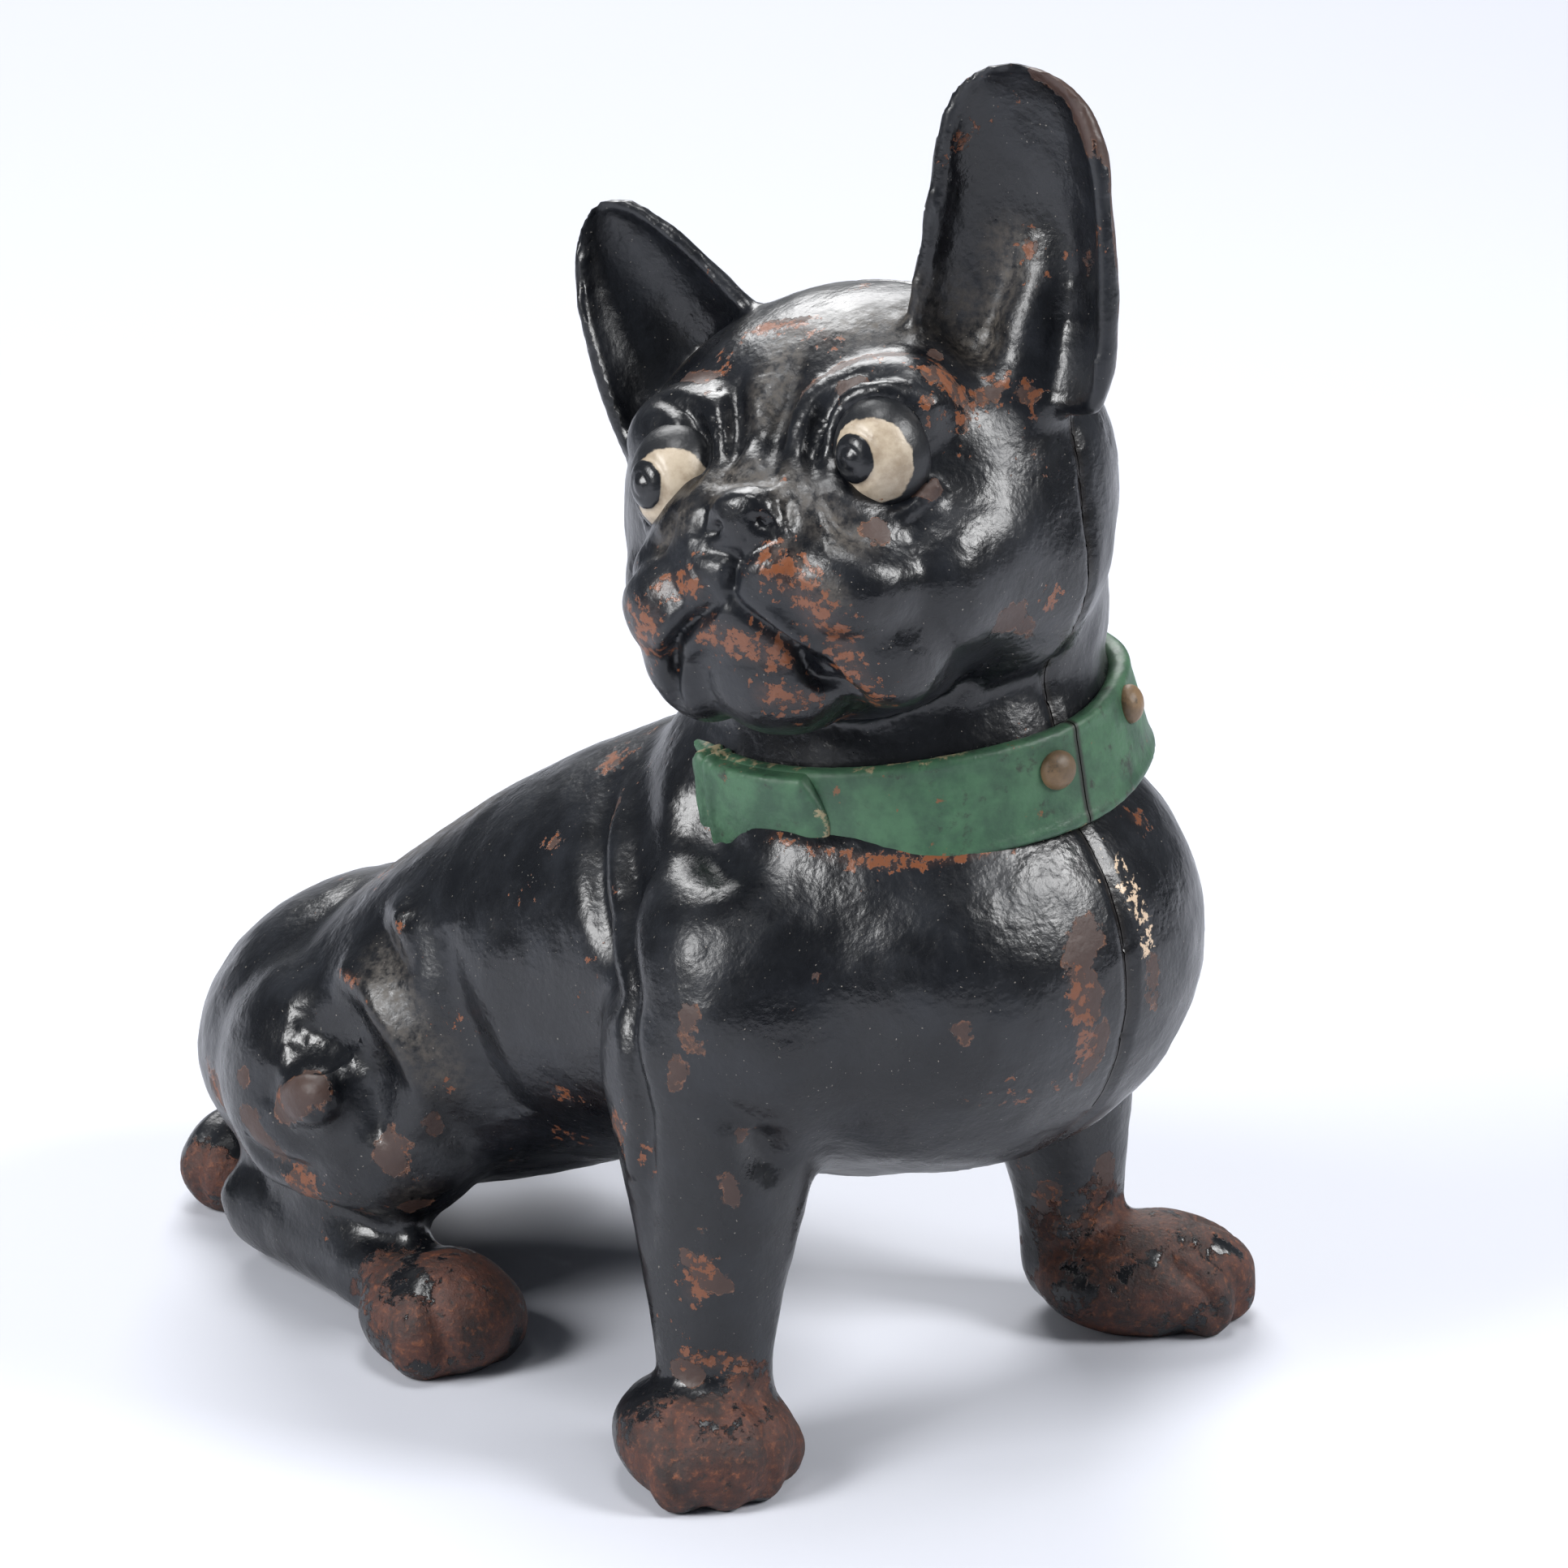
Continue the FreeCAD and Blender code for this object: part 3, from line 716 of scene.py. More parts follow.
def makeStrapEnd():
    end = collar["end"]
    loops = []
    for angle in np.arange(end["from"], end["to"] + 0.1, 1.0):
        late = max(0, (angle - end["to"] + end["tip"] + 2) / (end["tip"] + 2))
        low = end["low"] + (end["point"] - 1.4 - end["low"]) * late
        high = end["high"] + (end["point"] + 1.4 - end["high"]) * late ** 1.3
        lift = end["radius"] - 0.9 * late
        loops.append([onCollar(angle, r, z) for r, z in
                      [(29, low), (lift - 0.5, low), (lift, low + 0.5), (lift + 0.05, (low + high) / 2),
                       (lift, high - 0.5), (lift - 0.5, high), (29, high)]])
    return tube("collar_strap_end", loops)


def makeKeeper(start, stop):
    loops = []
    for angle in np.linspace(start, stop, 4):
        rounding = 0.35 if angle in (start, stop) else 0
        loops.append([onCollar(angle, r if r < 30 else r - rounding, z) for r, z in collar["keeper"]])
    return tube("keeper", loops)


def makeStud(angle, height):
    stud = ball((0, 0, 0), collar["stud"])
    place = onCollar(angle, collar["studOut"], height)
    turn = collarPlace.to_3x3() @ Matrix.Rotation(math.radians(angle), 3, "Z")
    stud.data.transform(Matrix.Translation(place) @ turn.to_4x4())
    return stud


strap = makeStrap()
finish(strap, "SUBSURF", "round", levels=2, render_levels=2)
soften(strap, 0.5, 2)
straps = {"right": splitAtSeam(strap, "collar_strap_right", -1),
          "left": splitAtSeam(strap, "collar_strap_left", 1)}
bpy.data.objects.remove(strap)
strapEnd = join([makeStrapEnd()] + [makeKeeper(a, b) for a, b in collar["keepers"]], "collar_strap_end")
soften(strapEnd, 0.4, 3)
studs = [makeStud(angle, height) for angle, height in collar["studs"]]
studs[0].name, studs[1].name = "collar_stud_right", "collar_stud_left"
say("collar made")

eyes = {
    # centre and radii in the head's own frame, where the pupil looks, the middle of what the lids leave
    "left": {"centre": (16.6, -22.9, 9.2), "radii": (6.5, 7.3, 7.8), "look": (-1.9, -6.8, 0.8),
             "shown": (0.6, -7.0, 0.0)},
    "right": {"centre": (-13.4, -23.3, 8.9), "radii": (6.6, 7.4, 7.8), "look": (-2.7, -6.4, 1.2),
              "shown": (1.4, -6.9, -0.2)},
    "pupil": 3.4, "dome": 0.5, "reach": 5.9, "flatBack": 0.25,
}
# rings round the pupil's middle: radius, width, height
eyes["rings"] = [(eyes["pupil"] + 0.4, 0.5, -0.22), (0, 0.9, 0.2), (1.5, 0.4, -0.2)]


def makeEye(name):
    eye = eyes[name]
    bpy.ops.mesh.primitive_uv_sphere_add(segments=128, ring_count=96, radius=1)
    obj = bpy.context.object
    obj.name = obj.data.name = "eye_" + name
    normal = vertexPlaces(obj)
    co = normal * np.array(eye["radii"])
    look = np.array(Vector(eye["look"]).normalized()) * np.array(eye["radii"])
    apart = np.linalg.norm(co - look, axis=1)
    rise = eyes["dome"] * np.clip(1 - (apart / eyes["pupil"]) ** 2, 0, 1) ** 0.8
    for radius, width, height in eyes["rings"]:
        rise += height * np.exp(-((apart - radius) / width) ** 2)
    shown = np.linalg.norm(co - np.array(eye["shown"]), axis=1)
    co = co + normal * rise[:, None]
    co[:, 1] = np.where(co[:, 1] > 0, co[:, 1] * eyes["flatBack"], co[:, 1])
    obj.data.vertices.foreach_set("co", co.ravel())
    numbers(obj, "pupil", 1 - apart / eyes["pupil"])
    numbers(obj, "rim", shown / eyes["reach"] - 1)
    return placed(obj, headPlace @ Matrix.Translation(eye["centre"]))


eyeballs = [makeEye("left"), makeEye("right")]

wear = {
    # lines over the surface with the radius that they reach
    "bare": [
        (head((22.6, -26, 11), (23.6, -25, 7.5), (24, -24, 5)), 1.6),
        (head((21, -24, 3.2), (23, -23, 3.6)), 2.0),
        (head((17, -31, 0.4), (18, -31, 1)), 2.6),
        (head((6, -20, 16.5), (10, -17, 19.5), (17, -14, 20)), 2.0),
        (head((12, -21, 17.8), (14, -20, 18)), 1.6), (head((-16, -12, 20), (-11, -15, 20.5)), 2.4),
        (head((-9, -19, 18.4), (-8.6, -20, 17)), 1.5), (head((2, -39.4, 9.2), (5, -38.6, 9)), 1.5),
        (head((-4, -8, 26), (4, -8, 27), (9, -6, 28)), 1.7), (head((25, -17, -15), (27, -16, -16)), 3.8),
        (head((27, -13, -18), (27, -11, -21)), 2.2), (head((-16, -21, 15.5), (-20, -16, 15)), 1.6),
        ([(-46, -21, 70), (-46, -22, 67)], 3.6), ([(-48, -20, 63), (-48, -20, 61)], 2.6),
        ([(-25, -49, 69.5), (-24, -49, 69)], 2.8), ([(-37, -31, 64), (-37, -31, 63)], 2.9),
        ([(-36, -34, 76), (-37, -33, 73)], 1.5), ([(-7, -56, 80), (-9, -57, 76), (-8, -58, 70)], 3.6),
        ([(-6, -58, 66), (-6, -58, 62), (-7, -57, 57)], 2.6), ([(5, -57, 72), (5, -57, 67)], 3.0),
        ([(8, -55, 85), (8, -54, 90)], 1.3), ([(-41, -28, 53), (-43, -27, 53)], 1.7),
        ([(-45, -26, 47), (-44, -26, 44)], 2.1), ([(-47, -24, 43), (-47, -23, 40), (-48, -21, 37)], 1.7),
        ([(-46, -22, 32), (-44, -24, 31), (-47, -20, 35)], 2.0), ([(-49, -17, 40), (-49, -16, 34)], 1.2),
        ([(-22, 15, 91), (-27, 12, 86), (-31, 9, 82)], 1.2), ([(-44, 72, 38), (-43, 73, 36)], 2.2),
        ([(-43, 67, 27), (-44, 71, 29)], 4.0), ([(-33, 86, 31), (-36, 83, 28)], 5.0),
        ([(-45, 57, 39), (-46, 55, 40), (-45, 62, 35)], 4.4), ([(-40, 45, 33), (-39, 45, 29)], 3.6),
        ([(-36, 42, 40), (-35, 41, 35)], 2.4), ([(-38, 52, 55), (-38, 47, 50), (-37, 43, 43)], 1.0),
        ([(-35, 46, 20), (-34, 43, 21)], 2.4), ([(-38, 55, 18), (-37, 50, 18)], 1.2),
        ([(-12, 20, 96), (-14, 40, 84)], 1.0), ([(31, -20, 22), (31, -19, 15)], 2.6),
        ([(36, -26, 26), (37, -25, 22)], 2.2), ([(-47, -18, 18), (-46, -20, 17)], 2.0),
        # the ears' rims
        (head((41, -6, 53), (45.5, -6, 48), (47.5, -5, 38), (46, -4, 26), (42, -4, 14)), 2.5),
        (head((20, -10, 18), (21, -9.5, 21)), 1.6), (head((-28, 1, 43), (-22, 0, 37), (-17, 0, 31)), 2.0),
        # the left side and the back
        ([(42, -10, 70), (43, -6, 66)], 3.2), ([(38, 30, 55), (38, 34, 53)], 2.6),
        ([(36, 66, 48), (38, 60, 45)], 3.4), ([(40, 78, 30), (38, 82, 27)], 4.2),
        ([(20, 88, 40), (15, 90, 36)], 3.0), ([(2, 60, 62), (-3, 66, 58)], 2.0),
        ([(48, -14, 44), (48, -13, 38)], 2.4), ([(30, 10, 88), (34, 5, 83)], 1.4),
    ],
    "orange": [
        (head((6.5, -40, 0), (9.5, -40, -4), (11, -38, -9)), 4.2),
        (head((11.4, -37, -12), (12, -35, -19), (12, -32, -24)), 3.6),
        (head((-5, -39, -9), (-1, -39, -10.5), (3, -38, -13)), 3.8),
        (head((-11, -39, -2), (-9, -40, -1), (-6, -40, -2)), 2.6),
        (head((-14, -40, -6), (-17, -38, -10)), 4.2), (head((0, -38, -18), (5, -36, -20)), 3.0),
        (head((8, -14, 24), (2, -10, 26), (-6, -8, 25)), 2.6),
        ([(-31, -22, 91), (-28, -33, 90), (-22, -41, 90.5), (-14, -46, 91.5), (-7, -47, 93)], 1.9),
        ([(9, -49, 95), (13, -50, 90), (15, -47, 96)], 2.4),
        ([(-38, -31, 71), (-36, -32, 73), (-37, -31, 68)], 2.0),
        ([(-46, -22, 34), (-47, -21, 30)], 2.8), ([(-45, 66, 36), (-44, 58, 36)], 1.6),
        ([(-38, 58, 56), (-38, 50, 53), (-37, 44, 46), (-36, 42, 37)], 1.4),
        ([(-47, -19, 20), (-40, -27, 19)], 2.0),
        ([(-10, -57, 74), (-9, -58, 68), (-8, -58, 60)], 2.6),
        ([(34, -22, 18), (38, -28, 16)], 3.2),
    ],
    "cream": [
        ([(1, -53, 91), (3, -55, 86), (4, -57, 79), (4, -58, 75)], 1.9),
        ([(-2, -52, 91), (-1, -55, 86)], 1.1),
    ],
    "rust": [
        ([(-53, -20, 8), (-50, -29, 7), (-42, -32, 6), (-34, -28, 7)], 8.5),
        ([(-46, -25, 14), (-38, -27, 13)], 4.5),
        ([(33, -30, 6), (42, -36, 7), (52, -38, 6)], 9.5),
        ([(34, -22, 10), (44, -30, 13), (51, -33, 12)], 7.5),
        ([(50, -27, 8), (44, -22, 8)], 7.0), ([(36, -22, 20), (39, -24, 16)], 4.5),
        ([(-36, 30, 9), (-44, 34, 8), (-31, 32, 12)], 9.5), ([(-42, 44, 12), (-38, 46, 9)], 6.0),
        ([(-40, 40, 17), (-34, 38, 18)], 3.5), ([(-44, 52, 4), (-42, 62, 3)], 3.2),
        ([(-20, 104, 4), (-25, 104, 7), (-12, 104, 3)], 6.5), ([(-3, 108, 5), (12, 108, 6)], 6.0),
        (head((41, -2, 10), (43, -2, 18), (45, -1, 28)), 3.0), (head((37, -3, 6), (39, -2, 12)), 3.2),
    ],
    "dust": [
        (head((-3, -31, 10), (3, -32, 9.5), (9, -33, 5), (15, -34, 1)), 5.0),
        (head((1, -22, 17), (1, -12, 25)), 5.0),
        (head((10, -10, 26), (20, -2, 24)), 8.0), (head((-8, -35, 6), (-12, -34, 3)), 3.4),
        (head((24, -4, 18), (28, 0, 24), (29, 0, 30)), 6.5), (head((-18, -2, 18), (-22, 0, 24)), 5.5),
        ([(-37, 50, 60), (-38, 44, 52), (-36, 38, 44)], 6.0), ([(-38, 44, 22), (-34, 34, 24)], 5.0),
        (head((14, -40, -6), (8, -40, 2)), 3.0), ([(-15, 50, 76), (-18, 70, 62)], 9.0),
    ],
}


seamStain, innerDepth = 1.1, 1.3    # half width of the seam's dark line; deeper than this is inside


def markWear(obj):
    # each effect's field is 1 on its line and 0 at its radius
    co = vertexPlaces(obj)
    for effect, places in wear.items():
        field = np.full(len(co), -1.0)
        for points, radius in places:
            for p in smoothLine(points, 1.0):
                d = np.linalg.norm(co - p, axis=1)
                field = np.maximum(field, 1 - d / radius)
        numbers(obj, effect, field)
    numbers(obj, "seam", np.exp(-(co[:, 0] / seamStain) ** 2))


def markInside(obj):
    # raw iron on the hollow, on the meeting faces and in the bores
    co = vertexPlaces(obj)
    inside = np.array([skinTree.find(Vector(p))[2] > innerDepth for p in co])
    for polygon in obj.data.polygons:
        flat = abs(polygon.normal.x) > 0.999 and abs(polygon.center.x) < 0.3
        if flat or all(inside[v] for v in polygon.vertices):
            polygon.material_index = 1


for half in halves.values():
    markWear(half)
    markInside(half)
for piece in [strapEnd] + studs + list(straps.values()):
    markWear(piece)
say("wear marked")


class Finish:
    # a node tree with short ways to add to it
    def __init__(self, tree):
        self.tree = tree

    def add(self, kind, **settings):
        node = self.tree.nodes.new(kind)
        for key, value in settings.items():
            setattr(node, key, value)
        return node

    def feed(self, socket, value):
        if isinstance(value, bpy.types.NodeSocket):
            self.tree.links.new(value, socket)
        else:
            socket.default_value = value

    def math(self, operation, a, b=0.0, clamp=False):
        node = self.add("ShaderNodeMath", operation=operation, use_clamp=clamp)
        self.feed(node.inputs[0], a)
        self.feed(node.inputs[1], b)
        return node.outputs[0]

    def plus(self, a, b, clamp=False):
        return self.math("ADD", a, b, clamp)

    def times(self, a, b):
        return self.math("MULTIPLY", a, b)

    def swing(self, value, reach):
        # a noise moved to both sides of 0
        return self.times(self.math("SUBTRACT", value, 0.5), reach)

    def mix(self, share, a, b):
        node = self.add("ShaderNodeMix", data_type="RGBA")
        self.feed(node.inputs[0], share)
        self.feed(node.inputs[6], a)
        self.feed(node.inputs[7], b)
        return node.outputs[2]

    def step(self, value, low, high, to=1.0, start=0.0):
        node = self.add("ShaderNodeMapRange", interpolation_type="SMOOTHSTEP")
        for socket, given in zip(node.inputs, (value, low, high, start, to)):
            self.feed(socket, given)
        return node.outputs[0]

    def noise(self, where, scale, detail=3.0, rough=0.5, shift=0.0):
        node = self.add("ShaderNodeTexNoise", noise_dimensions="4D")
        self.feed(node.inputs["Vector"], where)
        node.inputs["W"].default_value = shift
        node.inputs["Scale"].default_value = scale
        node.inputs["Detail"].default_value = detail
        node.inputs["Roughness"].default_value = rough
        return node.outputs["Fac"]

    def place(self):
        return self.add("ShaderNodeTexCoord").outputs["Object"]

    def field(self, name):
        return self.add("ShaderNodeAttribute", attribute_name=name).outputs["Fac"]

    def group(self, tree, **given):
        node = self.add("ShaderNodeGroup", node_tree=tree)
        for key, value in given.items():
            self.feed(node.inputs[key], value)
        return node


def newMaterial(name):
    material = bpy.data.materials.new(name)
    material.use_nodes = True
    return material, Finish(material.node_tree), material.node_tree.nodes["Principled BSDF"]


def addBump(maker, shader, height, distance):
    bump = maker.add("ShaderNodeBump")
    bump.inputs["Strength"].default_value = 1.0
    bump.inputs["Distance"].default_value = distance
    maker.feed(bump.inputs["Height"], height)
    maker.feed(shader.inputs["Normal"], bump.outputs["Normal"])


def newGroup(name, inputs, outputs):
    tree = bpy.data.node_groups.new(name, "ShaderNodeTree")
    for key, kind in inputs:
        tree.interface.new_socket(name=key, in_out="INPUT", socket_type=kind)
    for key, kind in outputs:
        tree.interface.new_socket(name=key, in_out="OUTPUT", socket_type=kind)
    maker = Finish(tree)
    return maker, maker.add("NodeGroupInput"), maker.add("NodeGroupOutput")


number, colour, vector = "NodeSocketFloat", "NodeSocketColor", "NodeSocketVector"


def makePaintLoss():
    # from a field, a ragged patch and the broken edge of the paint round it
    maker, given, out = newGroup("paintLoss", [("Field", number), ("Vector", vector), ("Ragged", number)],
                                 [("Patch", number), ("Edge", number)])
    broad = maker.noise(given.outputs["Vector"], 260, 4, 0.6)
    fine = maker.noise(given.outputs["Vector"], 1100, 3, 0.6, 3.0)
    sway = maker.plus(maker.swing(broad, 2.6), maker.swing(fine, 0.9))
    level = maker.plus(given.outputs["Field"], maker.times(sway, given.outputs["Ragged"]))
    level = maker.math("SUBTRACT", level, 0.28)
    maker.feed(out.inputs["Patch"], maker.step(level, 0.0, 0.04))
    rim = maker.times(maker.step(level, -0.07, -0.01), maker.step(level, 0.0, 0.10, 0.0, 1.0))
    maker.feed(out.inputs["Edge"], rim)
    return maker.tree


def makeCrumbs():
    # many small crumbs inside a field
    maker, given, out = newGroup("crumbs", [("Field", number), ("Vector", vector), ("Scale", number)],
                                 [("Patch", number)])
    node = maker.add("ShaderNodeTexNoise")
    maker.feed(node.inputs["Vector"], given.outputs["Vector"])
    maker.feed(node.inputs["Scale"], given.outputs["Scale"])
    node.inputs["Detail"].default_value = 6
    node.inputs["Roughness"].default_value = 0.65
    level = maker.plus(node.outputs["Fac"], maker.times(given.outputs["Field"], 0.16))
    maker.feed(out.inputs["Patch"], maker.step(level, 0.60, 0.625))
    return maker.tree


def makeIronRust():
    # brown, orange and black rust, with its pits
    maker, given, out = newGroup("ironRust", [("Vector", vector)], [("Color", colour), ("Height", number)])
    broad = maker.noise(given.outputs["Vector"], 170, 5, 0.6, 1.0)
    fine = maker.noise(given.outputs["Vector"], 900, 5, 0.7, 2.0)
    tint = maker.mix(maker.step(broad, 0.36, 0.62), (0.022, 0.010, 0.008, 1), (0.070, 0.023, 0.014, 1))
    tint = maker.mix(maker.step(fine, 0.50, 0.72), tint, (0.19, 0.062, 0.025, 1))
    tint = maker.mix(maker.step(fine, 0.46, 0.34), tint, (0.018, 0.013, 0.012, 1))
    maker.feed(out.inputs["Color"], tint)
    maker.feed(out.inputs["Height"], maker.plus(fine, maker.times(broad, 0.6)))
    return maker.tree


def makeSandSkin():
    # the pebbled skin of brushed enamel over sand-cast iron
    maker, given, out = newGroup("sandSkin", [("Vector", vector)], [("Height", number), ("Mottle", number)])
    lumps = maker.noise(given.outputs["Vector"], 330, 2, 0.5, 5.0)
    grain = maker.noise(given.outputs["Vector"], 1150, 3, 0.55, 6.0)
    maker.feed(out.inputs["Height"], maker.plus(maker.times(lumps, 0.9), maker.times(grain, 0.42)))
    maker.feed(out.inputs["Mottle"], maker.noise(given.outputs["Vector"], 90, 4, 0.6, 7.0))
    return maker.tree


paintLoss, crumbs, ironRust, sandSkin = makePaintLoss(), makeCrumbs(), makeIronRust(), makeSandSkin()

enamelLook = {
    "black": (0.0030, 0.0036, 0.0052, 1), "worn": (0.0085, 0.0100, 0.0135, 1), "rough": 0.27,
    "bare": (0.034, 0.018, 0.014, 1), "bareLight": (0.062, 0.034, 0.026, 1), "edge": (0.16, 0.070, 0.038, 1),
    "orange": (0.165, 0.056, 0.023, 1), "cream": (0.62, 0.47, 0.33, 1), "dust": (0.115, 0.098, 0.080, 1),
    "speck": (0.34, 0.31, 0.27, 1), "stain": (0.060, 0.030, 0.022, 1), "seam": (0.010, 0.008, 0.007, 1),
    "ragged": 0.62, "crumb": 620.0, "flake": 900.0, "shine": 0.55, "bump": 0.00022,
}


def makeEnamel(name, look):
    material, maker, shader = newMaterial(name)
    place = maker.place()
    skin = maker.group(sandSkin, Vector=place)
    tint = maker.mix(maker.step(skin.outputs["Mottle"], 0.42, 0.66), look["black"], look["worn"])
    rough = maker.step(skin.outputs["Mottle"], 0.3, 0.7, look["rough"] + 0.10, look["rough"] - 0.03)
    # dust
    cloud = maker.noise(place, 700, 5, 0.7, 8.0)
    dust = maker.times(maker.step(maker.field("dust"), -0.1, 1.1), maker.step(cloud, 0.34, 0.72))
    tint = maker.mix(maker.times(dust, 0.75), tint, look["dust"])
    rough = maker.plus(rough, maker.times(dust, 0.45), clamp=True)
    specks = maker.step(maker.noise(place, 2300, 1, 0.5, 9.0), 0.735, 0.76)
    tint = maker.mix(maker.times(specks, 0.55), tint, look["speck"])
    # flat bare patches with a broken paint edge, and small stray ones all over
    stray = maker.step(maker.noise(place, 75, 2, 0.5, 10.0), 0.50, 0.80, 0.55, -1.1)
    field = maker.math("MAXIMUM", maker.field("bare"), stray)
    loss = maker.group(paintLoss, Field=field, Vector=place, Ragged=look["ragged"])
    metal = maker.mix(maker.noise(place, 420, 4, 0.6, 11.0), look["bare"], look["bareLight"])
    tint = maker.mix(loss.outputs["Patch"], tint, metal)
    broken = maker.step(maker.noise(place, 520, 4, 0.6, 14.0), 0.44, 0.60)
    broken = maker.times(loss.outputs["Edge"], broken)
    tint = maker.mix(maker.times(broken, 0.85), tint, look["edge"])
    rough = maker.plus(rough, maker.times(loss.outputs["Patch"], 0.22), clamp=True)
    # orange crumbs, cream flakes
    loose = maker.math("MAXIMUM", maker.field("orange"), maker.plus(stray, 0.25))
    bits = maker.group(crumbs, Field=loose, Vector=place, Scale=look["crumb"])
    stain = maker.step(maker.field("orange"), 0.1, 0.9, 0.65)
    tint = maker.mix(maker.times(stain, maker.step(cloud, 0.3, 0.6)), tint, look["stain"])
    tint = maker.mix(bits.outputs["Patch"], tint, look["orange"])
    flakes = maker.group(crumbs, Field=maker.field("cream"), Vector=place, Scale=look["flake"])
    tint = maker.mix(flakes.outputs["Patch"], tint, look["cream"])
    # rust
    rust = maker.group(ironRust, Vector=place)
    rusty = maker.plus(maker.field("rust"), maker.swing(maker.noise(place, 190, 6, 0.72, 12.0), 4.2))
    rusty = maker.step(rusty, 0.10, 0.28)
    tint = maker.mix(rusty, tint, rust.outputs["Color"])
    rough = maker.plus(rough, maker.times(rusty, 0.34), clamp=True)
    # the seam's dark line
    seam = maker.times(maker.step(maker.field("seam"), 0.45, 0.9), 0.8)
    tint = maker.mix(seam, tint, look["seam"])
    maker.feed(shader.inputs["Base Color"], tint)
    maker.feed(shader.inputs["Roughness"], rough)
    height = maker.plus(skin.outputs["Height"], maker.times(loss.outputs["Patch"], -0.30))
    height = maker.plus(height, maker.times(bits.outputs["Patch"], -0.12))
    height = maker.plus(height, maker.times(maker.times(rusty, rust.outputs["Height"]), 1.4))
    addBump(maker, shader, height, look["bump"])
    shader.inputs["Specular IOR Level"].default_value = look["shine"]
    return material


def makeRawIron():
    material, maker, shader = newMaterial("rawIron")
    rust = maker.group(ironRust, Vector=maker.place())
    tint = maker.mix(0.55, rust.outputs["Color"], (0.045, 0.040, 0.038, 1))
    maker.feed(shader.inputs["Base Color"], tint)
    shader.inputs["Roughness"].default_value = 0.75
    shader.inputs["Metallic"].default_value = 0.35
    addBump(maker, shader, rust.outputs["Height"], 0.00035)
    return material


def makeSteel(name, tintA, tintB, rough, metallic):
    material, maker, shader = newMaterial(name)
    place = maker.place()
    rust = maker.group(ironRust, Vector=place)
    worn = maker.step(maker.noise(place, 500, 5, 0.65, 20.0), 0.47, 0.60)
    tint = maker.mix(maker.noise(place, 900, 3, 0.5, 21.0), tintA, tintB)
    tint = maker.mix(worn, tint, rust.outputs["Color"])
    maker.feed(shader.inputs["Base Color"], tint)
    maker.feed(shader.inputs["Roughness"], maker.step(worn, 0, 1, 0.85, rough))
    maker.feed(shader.inputs["Metallic"], maker.step(worn, 0, 1, 0.1, metallic))
    addBump(maker, shader, rust.outputs["Height"], 0.00008)
    return material


greenLook = {
    "light": (0.050, 0.128, 0.066, 1), "dark": (0.026, 0.070, 0.040, 1), "worn": (0.26, 0.22, 0.13, 1),
    "grime": (0.020, 0.022, 0.018, 1), "rust": (0.16, 0.075, 0.035, 1), "seam": (0.012, 0.011, 0.009, 1),
    "rough": 0.46,
}
studLook = {**greenLook, "light": (0.21, 0.13, 0.065, 1), "dark": (0.10, 0.065, 0.035, 1)}


def makeGreen(name, look):
    material, maker, shader = newMaterial(name)
    place = maker.place()
    skin = maker.group(sandSkin, Vector=place)
    blotch = maker.step(maker.noise(place, 160, 5, 0.65, 30.0), 0.36, 0.64)
    tint = maker.mix(blotch, look["dark"], look["light"])
    grime = maker.step(maker.noise(place, 240, 6, 0.7, 31.0), 0.545, 0.66, 0.85)
    tint = maker.mix(grime, tint, look["grime"])
    edge = maker.field("edge")
    level = maker.plus(edge, maker.swing(maker.noise(place, 420, 5, 0.7, 32.0), 2.4))
    worn = maker.step(level, 0.95, 1.15)
    tint = maker.mix(worn, tint, look["worn"])
    rusty = maker.step(maker.noise(place, 300, 5, 0.7, 33.0), 0.64, 0.67)
    tint = maker.mix(rusty, tint, look["rust"])
    seam = maker.times(maker.step(maker.field("seam"), 0.5, 0.95), 0.9)
    tint = maker.mix(seam, tint, look["seam"])
    maker.feed(shader.inputs["Base Color"], tint)
    rough = maker.step(skin.outputs["Mottle"], 0.3, 0.7, look["rough"] + 0.14, look["rough"] - 0.06)
    maker.feed(shader.inputs["Roughness"], rough)
    addBump(maker, shader, skin.outputs["Height"], 0.00024)
    return material


eyeLook = {
    "cream": (0.44, 0.37, 0.28, 1), "aged": (0.27, 0.21, 0.145, 1), "rust": (0.25, 0.10, 0.04, 1),
    "black": (0.008, 0.009, 0.011, 1),
}


def makeEyePaint(look):
    material, maker, shader = newMaterial("eyePaint")
    place = maker.place()
    skin = maker.group(sandSkin, Vector=place)
    sway = maker.swing(maker.noise(place, 420, 4, 0.6, 40.0), 0.30)
    pupil = maker.step(maker.plus(maker.field("pupil"), sway), -0.04, 0.03)
    stain = maker.noise(place, 210, 5, 0.65, 41.0)
    tint = maker.mix(maker.step(stain, 0.40, 0.66), look["cream"], look["aged"])
    rusty = maker.step(maker.noise(place, 520, 5, 0.7, 42.0), 0.645, 0.67)
    tint = maker.mix(rusty, tint, look["rust"])
    tint = maker.mix(pupil, tint, look["black"])
    outside = maker.step(maker.plus(maker.field("rim"), sway), 0.0, 0.06)
    tint = maker.mix(outside, tint, look["black"])
    maker.feed(shader.inputs["Base Color"], tint)
    maker.feed(shader.inputs["Roughness"], maker.step(pupil, 0, 1, 0.26, 0.38))
    addBump(maker, shader, skin.outputs["Height"], 0.00016)
    return material


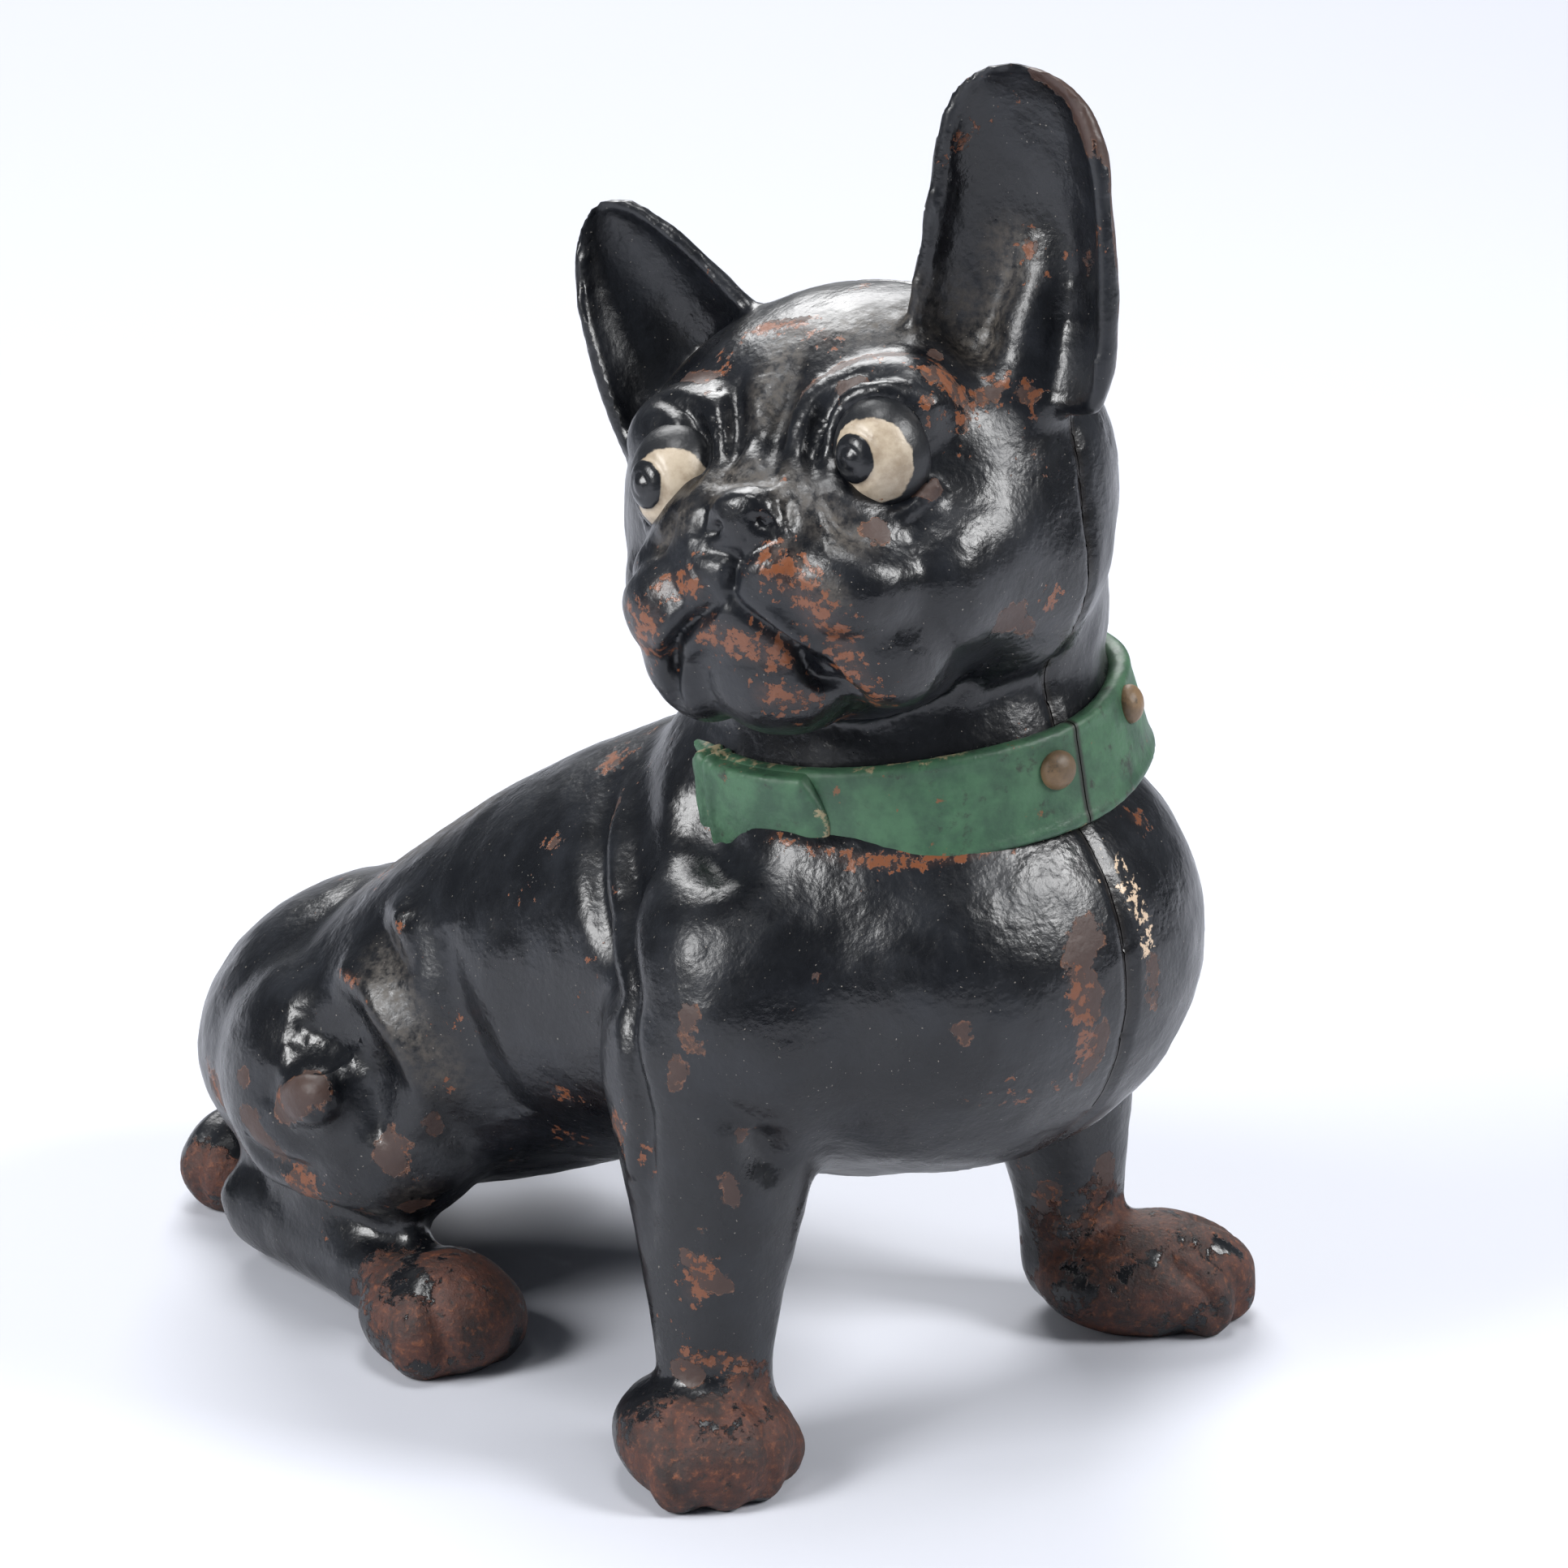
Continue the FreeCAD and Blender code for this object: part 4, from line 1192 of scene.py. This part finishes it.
enamel = makeEnamel("blackEnamel", enamelLook)
rawIron = makeRawIron()
green = makeGreen("greenEnamel", greenLook)
studPaint = makeGreen("studPaint", studLook)
eyePaint = makeEyePaint(eyeLook)
steel = makeSteel("screwSteel", (0.42, 0.41, 0.39, 1), (0.26, 0.25, 0.24, 1), 0.38, 1.0)
washerSteel = makeSteel("washerSteel", (0.38, 0.37, 0.35, 1), (0.22, 0.21, 0.20, 1), 0.45, 1.0)
nutIron = makeSteel("nutIron", (0.12, 0.11, 0.10, 1), (0.07, 0.06, 0.055, 1), 0.6, 0.8)
say("finishes made")


def ramp(values, start, over):
    return np.clip((values - start) / over, 0, 1)


def markEdge(piece):
    # 1 where the collar's paint is worn to its edge
    shape = collar["edge"]
    local = np.array([collarPlace.inverted() @ Vector(p) for p in vertexPlaces(piece)])
    edge = ramp(np.abs(local[:, 2] - shape["middle"]), *shape["sides"])
    if piece is strapEnd:
        turned = np.degrees(np.arctan2(local[:, 1], local[:, 0])) % 360
        edge = np.maximum(edge, ramp(turned, *shape["end"]))
        edge = np.maximum(edge, ramp(np.hypot(local[:, 0], local[:, 1]), *shape["out"]))
    numbers(piece, "edge", edge * (piece not in studs))


for piece in list(straps.values()) + [strapEnd] + studs:
    markEdge(piece)


boxRoom = 0.00005    # kept inside the CAD's box


def handOver(obj, body, materials, nodes=()):
    # paints a piece, moves it into the frame and tells which casting it rides
    obj.data.transform(intoFrame)
    low, high = np.array(cadLow) + boxRoom, np.array(cadHigh) - boxRoom
    co = np.clip(vertexPlaces(obj), low, high)
    obj.data.vertices.foreach_set("co", co.ravel())
    obj.data.materials.clear()
    for material in materials:
        obj.data.materials.append(material)
    obj.data.update()
    only(obj)
    bpy.ops.object.shade_smooth_by_angle(angle=math.radians(50))
    if nodes:
        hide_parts(*nodes)
    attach(obj, body)


for side, stud in zip(("right", "left"), studs):
    handOver(halves[side], side + "_casting", [enamel, rawIron], [side + "_half_casting"])
    handOver(straps[side], side + "_casting", [green])
    handOver(stud, side + "_casting", [studPaint])
handOver(strapEnd, "right_casting", [green])
for eye in eyeballs:
    handOver(eye, "right_casting", [eyePaint])
for name, material in (("screw", steel), ("washer", washerSteel), ("nut", nutIron)):
    for place in screwPlaces:
        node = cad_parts[place + "_" + name]
        node.data.materials.clear()
        node.data.materials.append(material)

studio = {
    "paper": (0.56, 0.575, 0.63, 1),
    "target": (-6.18, -27.62, 88), "azimuth": -48, "elevation": 18, "distance": 0.8, "span": 0.21955,
    "sensor": 36,
    # place, size, power
    "lamps": {
        "leftBox": ((-1.15, 0.25, 0.85), (0.50, 0.65), 21),
        "rightBox": ((0.50, -1.05, 0.95), (0.45, 0.55), 17),
        "topBox": ((-0.1, -0.1, 1.9), (0.6, 0.6), 15),
        "farBox": ((1.5, 1.7, 1.9), (1.6, 1.6), 70),
    },
    "sky": (0.84, 0.90, 1.0, 1), "skyPower": 0.15,
}

bpy.ops.mesh.primitive_plane_add(size=8, location=(0, 0, 0))
floor = bpy.context.object
floor.name = "floor"
paper, maker, shader = newMaterial("paper")
shader.inputs["Base Color"].default_value = studio["paper"]
shader.inputs["Roughness"].default_value = 0.7
shader.inputs["Specular IOR Level"].default_value = 0.2
floor.data.materials.append(paper)

target = Vector(studio["target"]) * mm
azimuth, elevation = math.radians(studio["azimuth"]), math.radians(studio["elevation"])
back = Vector((math.sin(azimuth) * math.cos(elevation), -math.cos(azimuth) * math.cos(elevation),
               math.sin(elevation)))
camera = bpy.data.objects.new("camera", bpy.data.cameras.new("camera"))
bpy.context.scene.collection.objects.link(camera)
camera.location = target + back * studio["distance"]
camera.rotation_euler = back.to_track_quat("Z", "Y").to_euler()
camera.data.sensor_width = studio["sensor"]
camera.data.lens = studio["sensor"] * studio["distance"] / studio["span"]
camera.data.clip_start = 0.05
bpy.context.scene.camera = camera


def lamp(name, place, size, power):
    data = bpy.data.lights.new(name, "AREA")
    data.shape = "RECTANGLE"
    data.size, data.size_y = size
    data.energy = power
    obj = bpy.data.objects.new(name, data)
    bpy.context.scene.collection.objects.link(obj)
    obj.location = place
    obj.rotation_euler = (Vector(place) - target).to_track_quat("Z", "Y").to_euler()


for name, (place, size, power) in studio["lamps"].items():
    lamp(name, place, size, power)
world = bpy.context.scene.world or bpy.data.worlds.new("world")
bpy.context.scene.world = world
world.use_nodes = True
world.node_tree.nodes["Background"].inputs["Color"].default_value = studio["sky"]
world.node_tree.nodes["Background"].inputs["Strength"].default_value = studio["skyPower"]
bpy.context.scene.view_settings.view_transform = "Standard"
say("studio lit")
